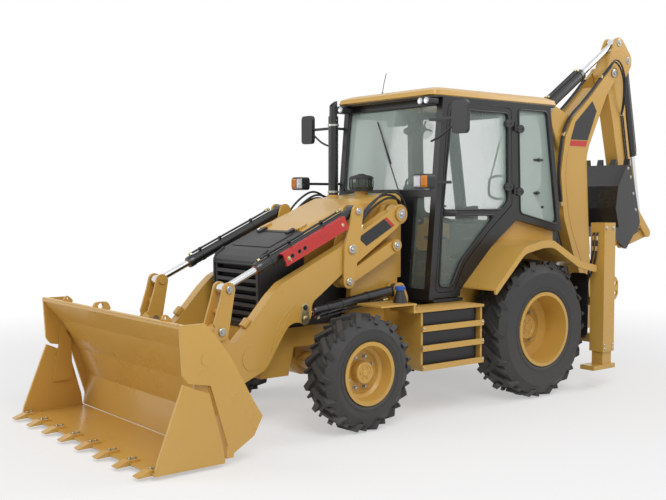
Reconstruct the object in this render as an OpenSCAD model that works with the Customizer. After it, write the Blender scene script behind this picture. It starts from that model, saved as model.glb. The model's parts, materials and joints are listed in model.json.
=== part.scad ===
// Backhoe loader, millimetres. X forward, Y left, Z up, ground at Z = 0.
// Side profiles are lists of [x, z] measured from the rear axle line.

/* [Placing] */
// distance of the part's origin ahead of the rear axle
origin_ahead = 860.5; // [700:1000]

/* [Wheels] */
// rear axle to front axle
wheelbase = 2210; // [2000:2400]
// front tyre radius out to the lug tips
front_tyre_r = 485; // [450:520]
// front tyre width
front_tyre_w = 310; // [260:360]
// front rim flange radius
front_rim_r = 262; // [240:300]
// lateral place of the front wheel's middle
front_wheel_y = 935; // [900:980]
// rear tyre radius out to the lug tips
rear_tyre_r = 660; // [620:720]
// rear tyre width
rear_tyre_w = 420; // [380:470]
// rear rim flange radius
rear_rim_r = 355; // [330:400]
// lateral place of the rear wheel's middle
rear_wheel_y = 865; // [840:900]
// outward place of the front wheel disc
front_dish = 20; // [0:40]
// outward place of the rear wheel disc
rear_dish = -60; // [-80:-40]
// tread bars on each side of a tyre
lugs = 14; // [12:2:20]
// lateral place of the steering kingpins
kingpin_y = 690; // [660:720]

/* [Loader] */
// lateral place of an arm's middle plane
arm_y = 532; // [510:550]
// thickness of an arm
arm_w = 104; // [90:120]
// thickness of the lever and ear plates
lever_t = 22; // [16:28]
// gap between an arm and a plate beside it
side_gap = 6; // [5:8]
// width of the loader bucket
bucket_w = 2400; // [2200:2450]
// thickness of the bucket's plates
bucket_t = 24; // [16:30]
// radius of the tilt cylinder barrels
tilt_barrel_r = 46; // [40:50]
// radius of the lift cylinder barrels
lift_barrel_r = 46; // [40:50]

/* [Cab] */
// half width of the cab over its outer faces
cab_hw = 700; // [680:720]
// thickness of the cab walls and doors
wall = 60; // [50:70]
// thickness of the glass panes
glass_t = 6; // [5:8]
// gap around a door
door_gap = 6; // [5:8]
// outer half width of the fenders
fender_hw = 1100; // [1080:1110]

/* [Backhoe] */
// lateral place of the boom on the side-shift rails
boom_y = 380; // [0:450]
// width of the boom
boom_w = 260; // [220:300]
// width of the stick
stick_w = 160; // [140:180]
// width of the digging bucket
dig_w = 600; // [500:700]
// outer face of the stabilizer housings
leg_y = 1150; // [1120:1180]

/* [Hidden] */
$fn = 64;
fit = 0.3;
// linkage pins of the loader, [x, z]
P0 = [1430, 1766];
P1 = [2014, 1472];
LINK = [30, -278];
Q0 = P0 + LINK;
Q1 = P1 + LINK;
T0 = [1944, 1797];
T1 = [3257, 1198];
V = T1 - (T0 - P1);
B = [3390, 290];
D = [1430, 1090];
E = [2500, 935];
TUBE = [3022, 630];
CLAM = [3819, 789];
// backhoe pins, [x, z]
SW = -1245;
F = [-1460, 720];
G = [-1825, 3282];
J = [-800, 2840];
SE = [-1986, 3639];
C0 = [-2163, 3455];
H = [-2270, 1600];
K2 = [-2085, 1389];
J2 = [-2560, 1507];
R0 = [-2230, 1850];
BC0 = [-1225, 962];
BC1 = [-820, 1950];

module both() {
  children();
  mirror([0, 1, 0]) children();
}
// a flat piece with a side profile, from y0 to y1
module plate(pts, y0, y1) {
  translate([0, y1, 0]) rotate([90, 0, 0]) linear_extrude(y1 - y0) polygon(pts);
}
// a round bar across the machine
module ybar(p, r, y0, y1) {
  translate([p[0], y1, p[1]]) rotate([90, 0, 0]) cylinder(r = r, h = y1 - y0);
}
module block(x0, x1, y0, y1, z0, z1) {
  translate([x0, y0, z0]) cube([x1 - x0, y1 - y0, z1 - z0]);
}
// the straight part of a strap with two round ends
function strap(p, r, q, s) =
  let (d = q - p, l = norm(d), a = atan2(d[1], d[0]), b = acos((r - s) / l))
  [p + r * [cos(a + b), sin(a + b)], p + r * [cos(a - b), sin(a - b)],
   q + s * [cos(a - b), sin(a - b)], q + s * [cos(a + b), sin(a + b)]];
// points of the arc that rounds the corner q between p and s
function corner(p, q, s, r, n) =
  let (u = (p - q) / norm(p - q), v = (s - q) / norm(s - q), h = acos(max(-0.9999, min(0.9999, u * v))) / 2,
    d = min(r / tan(h), 0.45 * norm(p - q), 0.45 * norm(s - q)), k = d * tan(h),
    m = q + (u + v) / max(norm(u + v), 0.0001) * k / sin(h), a = q + u * d - m, b = q + v * d - m,
    a0 = atan2(a[1], a[0]), t = (atan2(b[1], b[0]) - a0 + 900) % 360 - 180)
  abs(u * v) > 0.9995 ? [q] : [for (i = [0:n]) m + k * [cos(a0 + t * i / n), sin(a0 + t * i / n)]];
// an outline with its corners rounded
function soft(pts, r, n = 3) = let (l = len(pts))
  [for (i = [0:l - 1]) each corner(pts[(i + l - 1) % l], pts[i], pts[(i + 1) % l], r, n)];
// a block with its edges along x rounded
module pod(x0, x1, y0, y1, z0, z1, r) {
  translate([x0, 0, 0]) rotate([90, 0, 90]) linear_extrude(x1 - x0)
    polygon(soft([[y0, z0], [y1, z0], [y1, z1], [y0, z1]], r, 4));
}
module link(p, r, q, s, y0, y1) {
  plate(strap(p, r, q, s), y0, y1);
  ybar(p, r, y0, y1);
  ybar(q, s, y0, y1);
}
// a round bar in the side plane, from a distance u to v along p to q
module rod(p, q, y, r, u, v) {
  d = q - p;
  translate([p[0], y, p[1]]) rotate([0, atan2(d[0], d[1]), 0]) translate([0, 0, u]) cylinder(r = r, h = v - u);
}

// a cylinder's barrel: eye at p, tube from u0 to u1 along p to q
module barrel(p, q, y, r, er, hw, u0, u1, bore, pin) difference() {
  union() {
    rod(p, q, y, r, u0, u1);
    rod(p, q, y, hw - 4, 0, u0 + 10);
    ybar(p, er, y - hw, y + hw);
  }
  ybar(p, pin + fit, y - hw - 5, y + hw + 5);
  rod(p, q, y, bore + fit, u0 + 8, u1 + 60);
}

// running gear
// one bar of the tread, from the middle of the tyre round its shoulder
module lug(r, w, t) translate([0, 0, r]) rotate([0, 0, -40]) rotate([90, 0, 90]) translate([0, 0, -t / 2])
  linear_extrude(t) polygon([[-w * 0.05, -1], [w * 0.5, -1 - pow(0.32 * w + 0.4 * t, 2) / (2 * r)], [w * 0.6, -92],
    [-w * 0.05, -60]]);
module tyre(r, w, rim, n, t) {
  fa = 30;
  b = (rim - 12.2) / cos(180 / fa);
  c = r - 32;
  resize([2 * r, w, 2 * r]) union() {
    rotate([90, 0, 0]) translate([0, 0, -w / 2]) rotate_extrude($fn = fa)
      polygon([[b, 24], [rim + 26, 4], [r - 120, 0], [c - 10, 44], [c, w / 2], [c - 10, w - 44], [r - 120, w],
        [rim + 26, w - 4], [b, w - 24]]);
    for (i = [0:n - 1]) {
      rotate([0, i * 360 / n, 0]) lug(r, w, t);
      rotate([0, (i + 0.5) * 360 / n, 0]) mirror([0, 1, 0]) lug(r, w, t);
    }
  }
}
module rim(rr, w, dish, bore) {
  b = rr - 12.4;
  rotate([90, 0, 0]) rotate_extrude($fn = 72)
    polygon([[b, w / 2 - 17], [rr, w / 2 - 17], [rr, w / 2 - 6], [b - 20, w / 2 - 6], [b - 40, dish + 30],
      [bore + 95, dish + 10], [bore + 85, dish - 14], [bore, dish - 14], [bore, dish - 34], [b - 30, dish - 34],
      [b - 24, -w / 2 + 6], [rr, -w / 2 + 6], [rr, -w / 2 + 17], [b, -w / 2 + 17]]);
}
module front_tyre(s) color("#26272a") translate([wheelbase, s * front_wheel_y, front_tyre_r])
  tyre(front_tyre_r, front_tyre_w, front_rim_r, lugs, front_tyre_r * 0.09);
module rear_tyre(s) color("#26272a") translate([0, s * rear_wheel_y, rear_tyre_r])
  tyre(rear_tyre_r, rear_tyre_w, rear_rim_r, lugs, rear_tyre_r * 0.082);
module front_rim(s) color("#d9a21b") translate([wheelbase, s * front_wheel_y, front_tyre_r])
  mirror([0, s > 0 ? 1 : 0, 0]) rim(front_rim_r, front_tyre_w, front_dish, 90 + fit);
module rear_rim(s) color("#d9a21b") translate([0, s * rear_wheel_y, rear_tyre_r])
  mirror([0, s > 0 ? 1 : 0, 0]) rim(rear_rim_r, rear_tyre_w, rear_dish, 120 + fit);

module front_axle() color("#d9a21b") {
  c = [wheelbase, front_tyre_r];
  ybar(c, 75, -610, 610);
  ybar(c, 130, -170, 170);
  block(wheelbase - 110, wheelbase + 110, -200, 200, front_tyre_r + 40, 640);
  both() {
    block(wheelbase - 60, wheelbase + 60, 560, 625, front_tyre_r - 140, front_tyre_r + 140);
    for (z = [-140, 110])
      translate([0, 0, front_tyre_r + z]) {
        block(wheelbase - 50, wheelbase + 50, 600, kingpin_y, 0, 30);
        translate([wheelbase, kingpin_y, 0]) cylinder(r = 50, h = 30);
      }
    translate([wheelbase, kingpin_y, front_tyre_r - 140]) cylinder(r = 30, h = 280);
  }
}
module knuckle(s) color("#d9a21b") mirror([0, s > 0 ? 0 : 1, 0]) {
  c = [wheelbase, front_tyre_r];
  difference() {
    union() {
      translate([wheelbase, kingpin_y, front_tyre_r - 105]) cylinder(r = 52, h = 210);
      block(wheelbase - 52, wheelbase + 52, kingpin_y, kingpin_y + 70, front_tyre_r - 90, front_tyre_r + 90);
      ybar(c, 125, kingpin_y + 60, front_wheel_y + front_dish - 34 - fit);
      ybar(c, 90, front_wheel_y + front_dish - 36, front_wheel_y + 75);
    }
    translate([wheelbase, kingpin_y, front_tyre_r - 150]) cylinder(r = 30 + fit, h = 300);
  }
}
module rear_axle() color("#d9a21b") {
  c = [0, rear_tyre_r];
  ybar(c, 95, -600, 600);
  ybar(c, 190, -180, 180);
  both() {
    ybar(c, 150, 560, 640);
    ybar(c, 160, 640, rear_wheel_y + rear_dish - 34 - fit);
    ybar(c, 120, rear_wheel_y + rear_dish - 36, rear_wheel_y - 20);
    block(-100, 100, 285, 355, rear_tyre_r, rear_tyre_r + 98);
  }
}

// frame
nose = wheelbase + 570;
module main_frame() color("#d9a21b") {
  difference() {
    union() {
      both() {
        plate([[nose, 810], [nose, 400], [nose - 280, 400], [nose - 340, 640], [wheelbase - 250, 640],
          [wheelbase - 310, 520], [740, 520],
          [640, 600], [-800, 600], [-800, 900], [1340, 900], [1500, 810]], 290, 350);
        plate([[1340, 620], [1340, 1740], [1390, 1850], [1480, 1850], [1640, 1620], [1880, 1200],
          [1940, 640]], 388, 448);
        block(1360, 1900, 340, 395, 660, 880);
        ybar(P0, 45, 440, arm_y + arm_w / 2 + 22);
        ybar(P0, 62, arm_y + arm_w / 2 + 6, arm_y + arm_w / 2 + 22);
        ybar(Q0, 36, 440, arm_y + 50);
        ybar(Q0, 52, arm_y + 38, arm_y + 50);
        for (y = [arm_y - 54, arm_y + 32]) link([1400, 1000], 70, D, 62, y, y + 22);
        block(1380, 1460, 440, arm_y + 54, 940, 1024);
        ybar(D, 30, arm_y - 54, arm_y + 62);
        block(800, 1500, 350, 700, 470, 930);
      }
      block(nose - 300, nose, -300, 300, 400, 440);
      block(nose - 40, nose, -300, 300, 400, 810);
      block(wheelbase - 250, nose - 340, -300, 300, 640, 680);
      block(740, wheelbase - 310, -300, 300, 520, 545);
      block(-800, -760, -300, 300, 600, 900);
      block(-700, 640, -300, 300, 865, 900);
    }
    both() block(-125, 125, 280, 360, 500, rear_tyre_r + 98);
  }
}
module engine() color("#4a4c50") block(1460, 2240, -260, 260, 680, 1420);

HOOD = [2342.5, 1642];
module grille() color("#1d1e20") {
  both() {
    ybar(HOOD, 10, 190, 240);
    ybar(HOOD, 5, 190, 290);
    plate([HOOD + [0, 9], HOOD + [80, -26], HOOD + [70, -48], HOOD + [6, -18]], 190, 240);
  }
  grille_shell();
}
module grille_shell() difference() {
  plate([[2345, 1625], [2700, 1470], [2781, 1419], [2800, 1380], [2790, 810], [2345, 810]], -363, 363);
  plate([[2300, 1600], [2690, 1440], [2760, 1395], [2770, 1370], [2762, 835], [2300, 835]], -338, 338);
  for (z = [880:70:1300]) block(2700, 2900, -300, 300, z, z + 40);
}
// [x, z] along the top of the hood, outside and inside
HOOD_TOP = [[2340, 1628], [2200, 1700], [1700, 1905], [1230, 1955]];
HOOD_IN = [[2400, 1595], [2190, 1682], [1695, 1885], [1200, 1936]];
module hood_slice(p, w, z0, r) translate([p[0] - 0.5, 0, 0]) rotate([90, 0, 90]) linear_extrude(0.5)
  polygon(concat([[-w, z0], [w, z0]], corner([w, z0], [w, p[1]], [-w, p[1]], r, 5),
    corner([w, p[1]], [-w, p[1]], [-w, z0], r, 5)));
module hood_loft(line, w, z0, r) for (i = [0:2]) hull() {
  hood_slice(line[i], w, z0, r);
  hood_slice(line[i + 1], w, z0, r);
}
module hood() color("#d9a21b") {
  both() difference() {
    union() {
      ybar(HOOD, 10, 240 + fit, 290);
      plate([HOOD + [0, 9], HOOD + [-90, 46], HOOD + [-90, 28], HOOD + [-8, -14]], 240 + fit, 290);
    }
    ybar(HOOD, 5 + fit, 200, 300);
  }
  difference() {
    hood_loft(HOOD_TOP, 375, 1180, 70);
    hood_loft(HOOD_IN, 357, 1100, 55);
  }
  translate([1480, -310, 1895]) cylinder(r = 60, h = 45);
  translate([1390, 0, 1925]) cylinder(r = 62, h = 60);
  translate([1390, 0, 1980]) cylinder(r = 105, h = 120);
  translate([1390, 0, 2098]) cylinder(r = 70, h = 22);
}
module exhaust() color("#1d1e20") translate([1480, -310, 0]) {
  difference() {
    union() {
      translate([0, 0, 1940]) cylinder(r = 48, h = 750);
      translate([0, 0, 2600]) cylinder(r = 38, h = 240);
    }
    translate([0, 0, 2560]) cylinder(r = 32, h = 400);
    translate([-60, -100, 2860]) rotate([0, 40, 0]) cube([200, 200, 200]);
  }
}
module steps() color("#d9a21b") both() {
  for (x = [786, 1530]) block(x, x + 22, 700, 985, 420, 930);
  block(786, 1640, 702, 1010, 930, 952);
  block(1640, 2030, 702, 1010, 1000, 1015);
  plate([[1640, 930], [1640, 1015], [1660, 1015], [1660, 930]], 702, 1010);
  for (z = [420, 590, 760]) {
    block(786, 1552, 790, 1010, z, z + 16);
    block(786, 1552, 992, 1010, z, z + 50);
  }
  block(786, 1552, 700, 720, 420, 930);
}
FEN = [[735, 1090], [330, 1462], [60, 1510], [-80, 1510], [-480, 1300], [-760, 1240]];
function band(t) = soft(concat(FEN, [for (i = [5:-1:0]) FEN[i] - [0, t]]), 190, 6);
module fenders() color("#d9a21b") both() {
  plate([[740, 905], [740, 1040], [345, 1440], [-19, 1700], [-640, 1570], [-640, 905]], cab_hw - wall - 40, cab_hw - wall);
  plate(band(26), cab_hw - wall, fender_hw);
  plate(band(70), fender_hw - 18, fender_hw);
}
// half width of the floor between the fenders' inner walls
cab_in = cab_hw - wall - 40;
module cab_floor() color("#1d1e20") {
  block(-640, 740, -cab_in, cab_in, 900, 935);
  block(740, 1120, -cab_hw, cab_hw, 955, 985);
  block(730, 770, -cab_in, cab_in, 900, 985);
  block(960, 1040, -170, 170, 980, 1500);
  translate([960, 0, 1480]) rotate([0, -28, 0]) cylinder(r = 28, h = 290);
  translate([822, 0, 1735]) rotate([0, -28, 0]) difference() {
    cylinder(r = 190, h = 26);
    translate([0, 0, -5]) cylinder(r = 162, h = 40);
  }
  translate([822, 0, 1735]) rotate([0, -28, 0]) {
    cylinder(r = 45, h = 22);
    translate([-12, -170, 2]) cube([24, 340, 16]);
  }
  block(60, 560, -cab_in, -cab_in + 180, 930, 1350);
}
module seat() color("#2a2b2e") {
  block(60, 420, -170, 170, 935, 1150);
  block(0, 520, -250, 250, 1150, 1270);
  plate([[-60, 1260], [70, 1260], [0, 1850], [-100, 1850]], -240, 240);
}
// cab shell
A_F = [[1180, 985], [1014, 2830], [954, 2830], [1120, 985]];
REAR = [[-445, 2830], [-505, 2830], [-702, 1584], [-702, 905], [-642, 905], [-642, 1590]];
DOOR = [[1098, 1050], [943, 2772], [86, 2772], [62, 1850], [400, 1592], [720, 1306], [862, 1050]];
QUARTER = [[-20, 2772], [-452, 2772], [-634, 1640], [-60, 1762]];
function grown(p, g) = [[p[0][0] + g, p[0][1] - g], [p[1][0] + g, p[1][1] + g], [p[2][0] - g, p[2][1] + g],
  [p[3][0] - g, p[3][1] - g], [p[4][0] - g, p[4][1] - g], [p[5][0] - g, p[5][1] - g], [p[6][0] - g, p[6][1] - g]];
HINGE = [40, 12];
HINGE_Z = [1950, 2560];
// knuckles of one door hinge half: z0 up, with the leaf from x0 to x1
module hinge_half(z0, x0, x1) {
  translate([HINGE[0], cab_hw + HINGE[1], z0]) cylinder(r = 11, h = 45);
  block(min(x0, x1), max(x0, x1), cab_hw, cab_hw + 12, z0, z0 + 45);
}
// half width of the front panes
pane = cab_hw - 70;
module cab_frame() color("#1d1e20") {
  both() for (z = HINGE_Z) {
    hinge_half(z, HINGE[0], -8);
    translate([HINGE[0], cab_hw + HINGE[1], z]) cylinder(r = 6, h = 90);
  }
  difference() {
    plate(A_F, -cab_hw, cab_hw);
    block(900, 1300, -pane, pane, 1980, 2765);
    both() block(900, 1300, pane - 210, pane, 1080, 1920);
  }
  difference() {
    plate(REAR, -cab_hw + wall, cab_hw - wall);
    block(-800, -400, -pane + 40, pane - 40, 1660, 2765);
  }
  both() difference() {
    plate([[1178, 1000], [1014, 2830], [-505, 2830], [-702, 1584], [-640, 1571], [-19, 1701], [345, 1452],
      [775, 1055], [775, 1000]], cab_hw - wall, cab_hw);
    plate(soft(grown(DOOR, door_gap), 50 + door_gap), cab_hw - wall - 5, cab_hw + 5);
    plate(soft(QUARTER, 60), cab_hw - wall - 5, cab_hw + 5);
  }
}
// x on the sloping front and rear walls at height z, o inside the outer face
function at(z, o) = 1180 - (z - 985) * 166 / 1845 - o;
function bt(z, o) = -690 + (z - 1660) * 197 / 1246 + o;
module cab_glass() color("#9fc7b8") {
  plate([[at(1980, 30), 1980], [at(2765, 30), 2765], [at(2765, 36), 2765], [at(1980, 36), 1980]], -pane, pane);
  both() plate([[at(1080, 30), 1080], [at(1920, 30), 1920], [at(1920, 36), 1920], [at(1080, 36), 1080]], pane - 210, pane);
  plate([[bt(1660, 30), 1660], [bt(2765, 30), 2765], [bt(2765, 36), 2765], [bt(1660, 36), 1660]], -pane + 40, pane - 40);
  both() plate(soft(QUARTER, 60), cab_hw - 30, cab_hw - 30 + glass_t);
}
UPPER = [[1010, 1800], [902, 2726], [132, 2726], [114, 1880], [210, 1800]];
LOWER = [[1052, 1096], [1014, 1750], [296, 1750], [432, 1628], [762, 1330], [892, 1096]];
module door(s) color("#1d1e20") mirror([0, s > 0 ? 0 : 1, 0]) difference() {
  union() {
    plate(soft(DOOR, 50), cab_hw - wall, cab_hw);
    for (z = HINGE_Z) hinge_half(z + 45 + fit, HINGE[0], 110);
  }
  for (z = HINGE_Z) translate([HINGE[0], cab_hw + HINGE[1], z]) cylinder(r = 6 + fit, h = 120);
  plate(soft(UPPER, 45), cab_hw - wall - 5, cab_hw + 5);
  plate(soft(LOWER, 45), cab_hw - wall - 5, cab_hw + 5);
}
module door_glass(s) color("#9fc7b8") mirror([0, s > 0 ? 0 : 1, 0]) {
  plate(soft(UPPER, 45), cab_hw - 33, cab_hw - 33 + glass_t);
  plate(soft(LOWER, 45), cab_hw - 33, cab_hw - 33 + glass_t);
}
// a level slice of the roof
module roof_slice(x0, x1, w, z, r) translate([0, 0, z]) linear_extrude(1)
  polygon(soft([[x0, -w], [x1, -w], [x1, w], [x0, w]], r, 6));
module cab_roof() color("#d9a21b") hull() {
  roof_slice(-600, 1100, cab_hw - 16, 2830, 50);
  roof_slice(-645, 1136, cab_hw, 2848, 80);
  roof_slice(-636, 1122, cab_hw - 10, 2888, 80);
  roof_slice(-560, 1040, cab_hw - 70, 2920, 90);
  roof_slice(-400, 800, cab_hw - 220, 2929, 90);
}
module mirrors() color("#1d1e20") both() {
  pod(1170, 1210, 1000, 1180, 2470, 2760, 40);
  block(1165, 1190, cab_hw, 1020, 2600, 2625);
  block(1000, 1190, cab_hw, cab_hw + 15, 2600, 2625);
}
module lamps() color("#1d1e20") both() {
  block(1060, 1150, cab_hw - 166, cab_hw - 10, 2820, 2830);
  for (y = [cab_hw - 128, cab_hw - 48]) pod(1060, 1175, y - 37, y + 37, 2756, 2822, 24);
  pod(1390, 1480, 800, 990, 1990, 2120, 36);
  block(1120, 1400, 815, 840, 2040, 2065);
  block(1040, 1120, cab_hw, 840, 2040, 2065);
}

// loader
lo = arm_y + arm_w / 2 + side_gap;
li = arm_y - arm_w / 2 - side_gap - lever_t;
ARM = [[1398, 1688], [1940, 1345], [2105, 1258], [2330, 1100], [2424, 1040], [2432, 905], [2500, 858], [2570, 890],
  [2659, 869], [2721, 787], [2889, 529], [3097, 442], [3335, 245], [3450, 330], [3385, 880], [3268, 880], [3246, 800],
  [3195, 751], [3079, 862], [2841, 1120], [2734, 1213], [2123, 1491], [1490, 1830]];
module loader_arms() color("#d9a21b") {
  difference() {
    union() {
      both() {
        plate(soft(ARM, 90), arm_y - arm_w / 2, arm_y + arm_w / 2);
        for (p = [[P0, 88], [V, 60], [B, 74]]) ybar(p[0], p[1], arm_y - arm_w / 2, arm_y + arm_w / 2);
      }
      ybar(TUBE, 98, -arm_y - arm_w / 2 - 4, arm_y + arm_w / 2 + 4);
    }
    both() {
      ybar(P0, 45 + fit, 300, 700);
      ybar(P1, 42 + fit, 300, 700);
      ybar(V, 32 + fit, 300, 700);
      ybar(B, 36 + fit, 300, 700);
      ybar(E, 205, arm_y - 29, arm_y + 29);
    }
  }
}
module rear_levers() color("#d9a21b") both() {
  for (y = [li, lo]) {
    link(T0, 58, P1, 82, y, y + lever_t);
    link(P1, 82, Q1, 58, y, y + lever_t);
  }
  ybar(P1, 42, li, lo + lever_t + 10);
  ybar(T0, 32, li, lo + lever_t + 10);
  ybar(Q1, 34, li, lo + lever_t + 10);
}
module tower_links() color("#d9a21b") both() difference() {
  link(Q0, 56, Q1, 52, arm_y - 32, arm_y + 32);
  ybar(Q0, 36 + fit, 300, 700);
  ybar(Q1, 34 + fit, 300, 700);
}
module lift_barrels() color("#1d1e20") both() barrel(D, E, arm_y, lift_barrel_r, 52, 28, 85, norm(E - D) - 116, 26, 30);
module lift_rods() color("#c8ccd0") both() {
  rod(D, E, arm_y, 26, 120, norm(E - D));
  ybar(E, 44, arm_y - 24, arm_y + 24);
}
module tilt_barrels() color("#1d1e20") both() barrel(T0, T1, arm_y, tilt_barrel_r, 52, 40, 56, norm(T1 - T0) - 333, 28, 32);
module tilt_rods() color("#c8ccd0") both() {
  rod(T0, T1, arm_y, 28, 330, norm(T1 - T0));
  ybar(T1, 44, arm_y - 40, arm_y + 40);
}
module arm_brace() color("#b3221c") {
  d = T1 - T0;
  translate([T0[0], arm_y, T0[1]]) rotate([0, atan2(d[0], d[1]), 0]) {
    difference() {
      translate([-30, tilt_barrel_r, 170]) cube([112, 55, 710]);
      translate([-18, tilt_barrel_r - 1, 160]) cube([88, 46, 800]);
      translate([-18, tilt_barrel_r - 1, 160]) cube([200, 26, 800]);
    }
    for (u = [200, 800]) translate([-18, tilt_barrel_r, u]) cube([36, 50, 40]);
  }
}
module lever_pins() color("#8a8d92") both() ybar(V, 32, li - 10, lo + lever_t + 10);
module front_levers() color("#d9a21b") both() difference() {
  union() {
    for (y = [li, lo]) {
      link(T1, 56, V, 66, y, y + lever_t);
      plate([[3300, 1225], [3395, 935], V + [20, -60], V], y, y + lever_t);
    }
    ybar(V + 0.45 * (T1 - V), 28, li, lo + lever_t);
    ybar(T1, 32, lo, lo + lever_t + 10);
    ybar(T1, 32, li - 10, li + lever_t);
  }
  ybar(V, 32 + fit, 300, 700);
}
// hinge pins of the bucket, each with its keeper plate outside the ear
module bucket_pins() color("#8a8d92") both() {
  y = lo + lever_t + side_gap;
  ybar(B, 36, li - 10, y + 1);
  link(B, 58, B + [-166, 44], 36, y, y + 20);
}
module loader_bucket() color("#d9a21b") {
  h = bucket_w / 2;
  difference() {
    union() {
      // curved back and top edge
      plate([[4030, 1040], [3980, 1040], [3860, 860], [3690, 580], [3600, 330], [3625, 150], [3640, 60], [3664, 60],
        [3652, 150], [3628, 330], [3716, 570], [3886, 845], [4030, 1015]], -h + 2, h - 2);
      both() {
        difference() {
          plate([[4030, 1040], [3831, 1040], [3745, 952], [3613, 774], [3430, 450], [3350, 325], [3425, 190],
            [3600, 90], [3664, 60], [3650, 156], [3770, 541], [3790, 600], [4005, 640]], h - bucket_t, h);
          plate([[3780, 300], [3780, 560], [4300, 560], [4300, 300]], h - 99, h + 5);
        }
        for (y = [li, lo]) {
          ybar(B, 76, y, y + lever_t);
          plate([B + [-40, 64], B + [20, -74], [3628, 90], [3606, 330], [3680, 545], [3560, 470]], y, y + lever_t);
        }
      }
      // lower rear cutting edge
      plate([[3664, 60], [3600, 60], [3600, 100], [3640, 110]], -h + 2, h - 2);
    }
    both() {
      ybar(B, 36 + fit, 300, 700);
      ybar(CLAM, 74, h - bucket_t - 34, h - bucket_t);
      difference() {
        ybar(CLAM, 420, h - 200, h + 5);
        ybar(CLAM, 214, h - 210, h + 15);
        block(3000, 3800, h - 210, h + 15, 0, 1200);
        block(3000, 4300, h - 210, h + 15, 788, 1300);
      }
    }
  }
  for (y = [-780, 910]) difference() {
    plate(soft([[3900, 1020], [3990, 1100], [4026, 1036]], 22), y - 11, y + 11);
    ybar([3982, 1062], 12, y - 15, y + 15);
  }
  difference() {
    plate(soft([[3860, 1000], [3900, 1085], [4006, 1085], [4026, 1036]], 40), -205, -175);
    ybar([3960, 1050], 24, -210, -170);
  }
  both() {
    ybar(CLAM, 24, h - bucket_t - 40, h - bucket_t + 2);
    ybar(CLAM, 46, h - 1, h + 3);
  }
}
module clam() color("#d9a21b") {
  h = bucket_w / 2;
  difference() {
    union() {
      plate([[3676, 30], [4231, 30], [4236, 48], [3690, 56], [3672, 60]], -h, h);
      both() {
        difference() {
          plate([[4005, 630], [3800, 545], [3690, 156], [3676, 45], [4231, 36], [4212, 110]], h - bucket_t, h);
          ybar(CLAM, 222, h - 99, h + 5);
        }
        plate([[3780, 300], [3960, 300], [3870, 800], [3840, 745], [3790, 665]], h - bucket_t - 26, h - bucket_t - 4);
        block(3800, 3940, h - bucket_t - 26, h - 1, 310, 520);
        ybar(CLAM, 50, h - bucket_t - 26, h - bucket_t - 4);
      }
      for (i = [0:7]) plate([[4150, 30], [4331, 24], [4331, 32], [4240, 66], [4150, 66]],
        -h + 50 + i * (bucket_w - 180) / 7, -h + 130 + i * (bucket_w - 180) / 7);
    }
    both() ybar(CLAM, 24 + fit, h - 200, h - bucket_t - 3);
  }
}

// backhoe
module stabilizer_frame() color("#d9a21b") {
  for (z = [440, 820]) block(-980, -885, -990, 990, z, z + 80);
  block(-900, -800, -350, 350, 600, 900);
  both() difference() {
    block(-990, -810, 985, leg_y, 367, 1663);
    block(-972, -828, 1003, leg_y - 18, 300, 1645);
  }
  // tie-down plates
  both() difference() {
    plate([[-985, 870], [-1040, 890], [-1075, 940], [-1075, 1060], [-1040, 1110], [-985, 1130]], leg_y - 40, leg_y - 18);
    for (z = [950, 1050]) ybar([-1035, z], 25, leg_y - 60, leg_y);
  }
}
module leg(s) color("#2a2b2e") mirror([0, s > 0 ? 0 : 1, 0]) {
  block(-972 + fit, -828 - fit, 1003 + fit, leg_y - 18 - fit, 235, 1560);
  block(-1015, -665, 985, leg_y, 195, 240);
}
module carriage() color("#d9a21b") translate([0, boom_y, 0]) difference() {
  union() {
    block(-1012, -980 - fit, -300, 300, 425, 915);
    for (z = [430, 800]) {
      block(SW, -1000, -85, 85, z, z + 60);
      translate([SW, 0, z]) cylinder(r = 85, h = 60);
    }
  }
  translate([SW, 0, 400]) cylinder(r = 45 + fit, h = 600);
}
module swing_post() color("#d9a21b") translate([0, boom_y, 0]) {
  difference() {
    union() {
      translate([SW, 0, 425]) cylinder(r = 45, h = 442);
      translate([SW, 0, 497]) cylinder(r = 78, h = 296);
      translate([SW, 0, 865]) cylinder(r = 80, h = 30);
      block(SW - 100, SW, -60, 60, 500, 790);
      block(SW - 108, SW - 60, -165, 165, 500, 790);
      both() {
        plate([[SW - 60, 500], [SW - 60, 790], [-1440, 820], [-1500, 640], [-1400, 500]], boom_w / 2 + 7, 165);
        ybar(F, 100, boom_w / 2 + 7, 165);
        plate([BC0 + [-58, -96], BC0 + [40, -96], BC0 + [48, 0], BC0 + [-50, 0]], 50, 72);
        ybar(BC0, 50, 50, 72);
      }
    }
    ybar(F, 40 + fit, -200, 200);
  }
  ybar(BC0, 28, -74, 74);
}
BOOM = [[-1400, 760], [-1300, 1050], [-1152, 1320], [-990, 1697], [-930, 2177], [-999, 2562], [-1111, 2743],
  [-1460, 3038], [-1780, 3340], [-1895, 3255], [-1705, 3038], [-1522, 2698], [-1405, 2480], [-1360, 2348],
  [-1371, 2184], [-1409, 1658], [-1430, 1300], [-1520, 1000], [-1545, 760]];
module boom() color("#d9a21b") translate([0, boom_y, 0]) {
  difference() {
    union() {
      plate(soft(BOOM, 220), -boom_w / 2, boom_w / 2);
      ybar(F, 92, -boom_w / 2, boom_w / 2);
      ybar(G, 78, -boom_w / 2, boom_w / 2);
      both() {
        plate([[-965, 2400], J + [45, -30], J + [-20, 55], [-1150, 2770]], 64, 86);
        ybar(J, 56, 64, 86);
        plate([[-995, 1720], BC1 + [30, -46], BC1 + [30, 46], [-960, 2120]], 60, 82);
        ybar(BC1, 54, 60, 82);
      }
    }
    ybar(G, 330, -stick_w / 2 - 7, stick_w / 2 + 7);
    ybar(G, 34 + fit, -300, 300);
  }
  ybar(F, 40, -166, 166);
  ybar(J, 30, -90, 90);
}
module boom_barrel() color("#1d1e20") translate([0, boom_y, 0]) barrel(BC0, BC1, 0, 52, 48, 44, 70, norm(BC1 - BC0) - 128, 32, 28);
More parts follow.
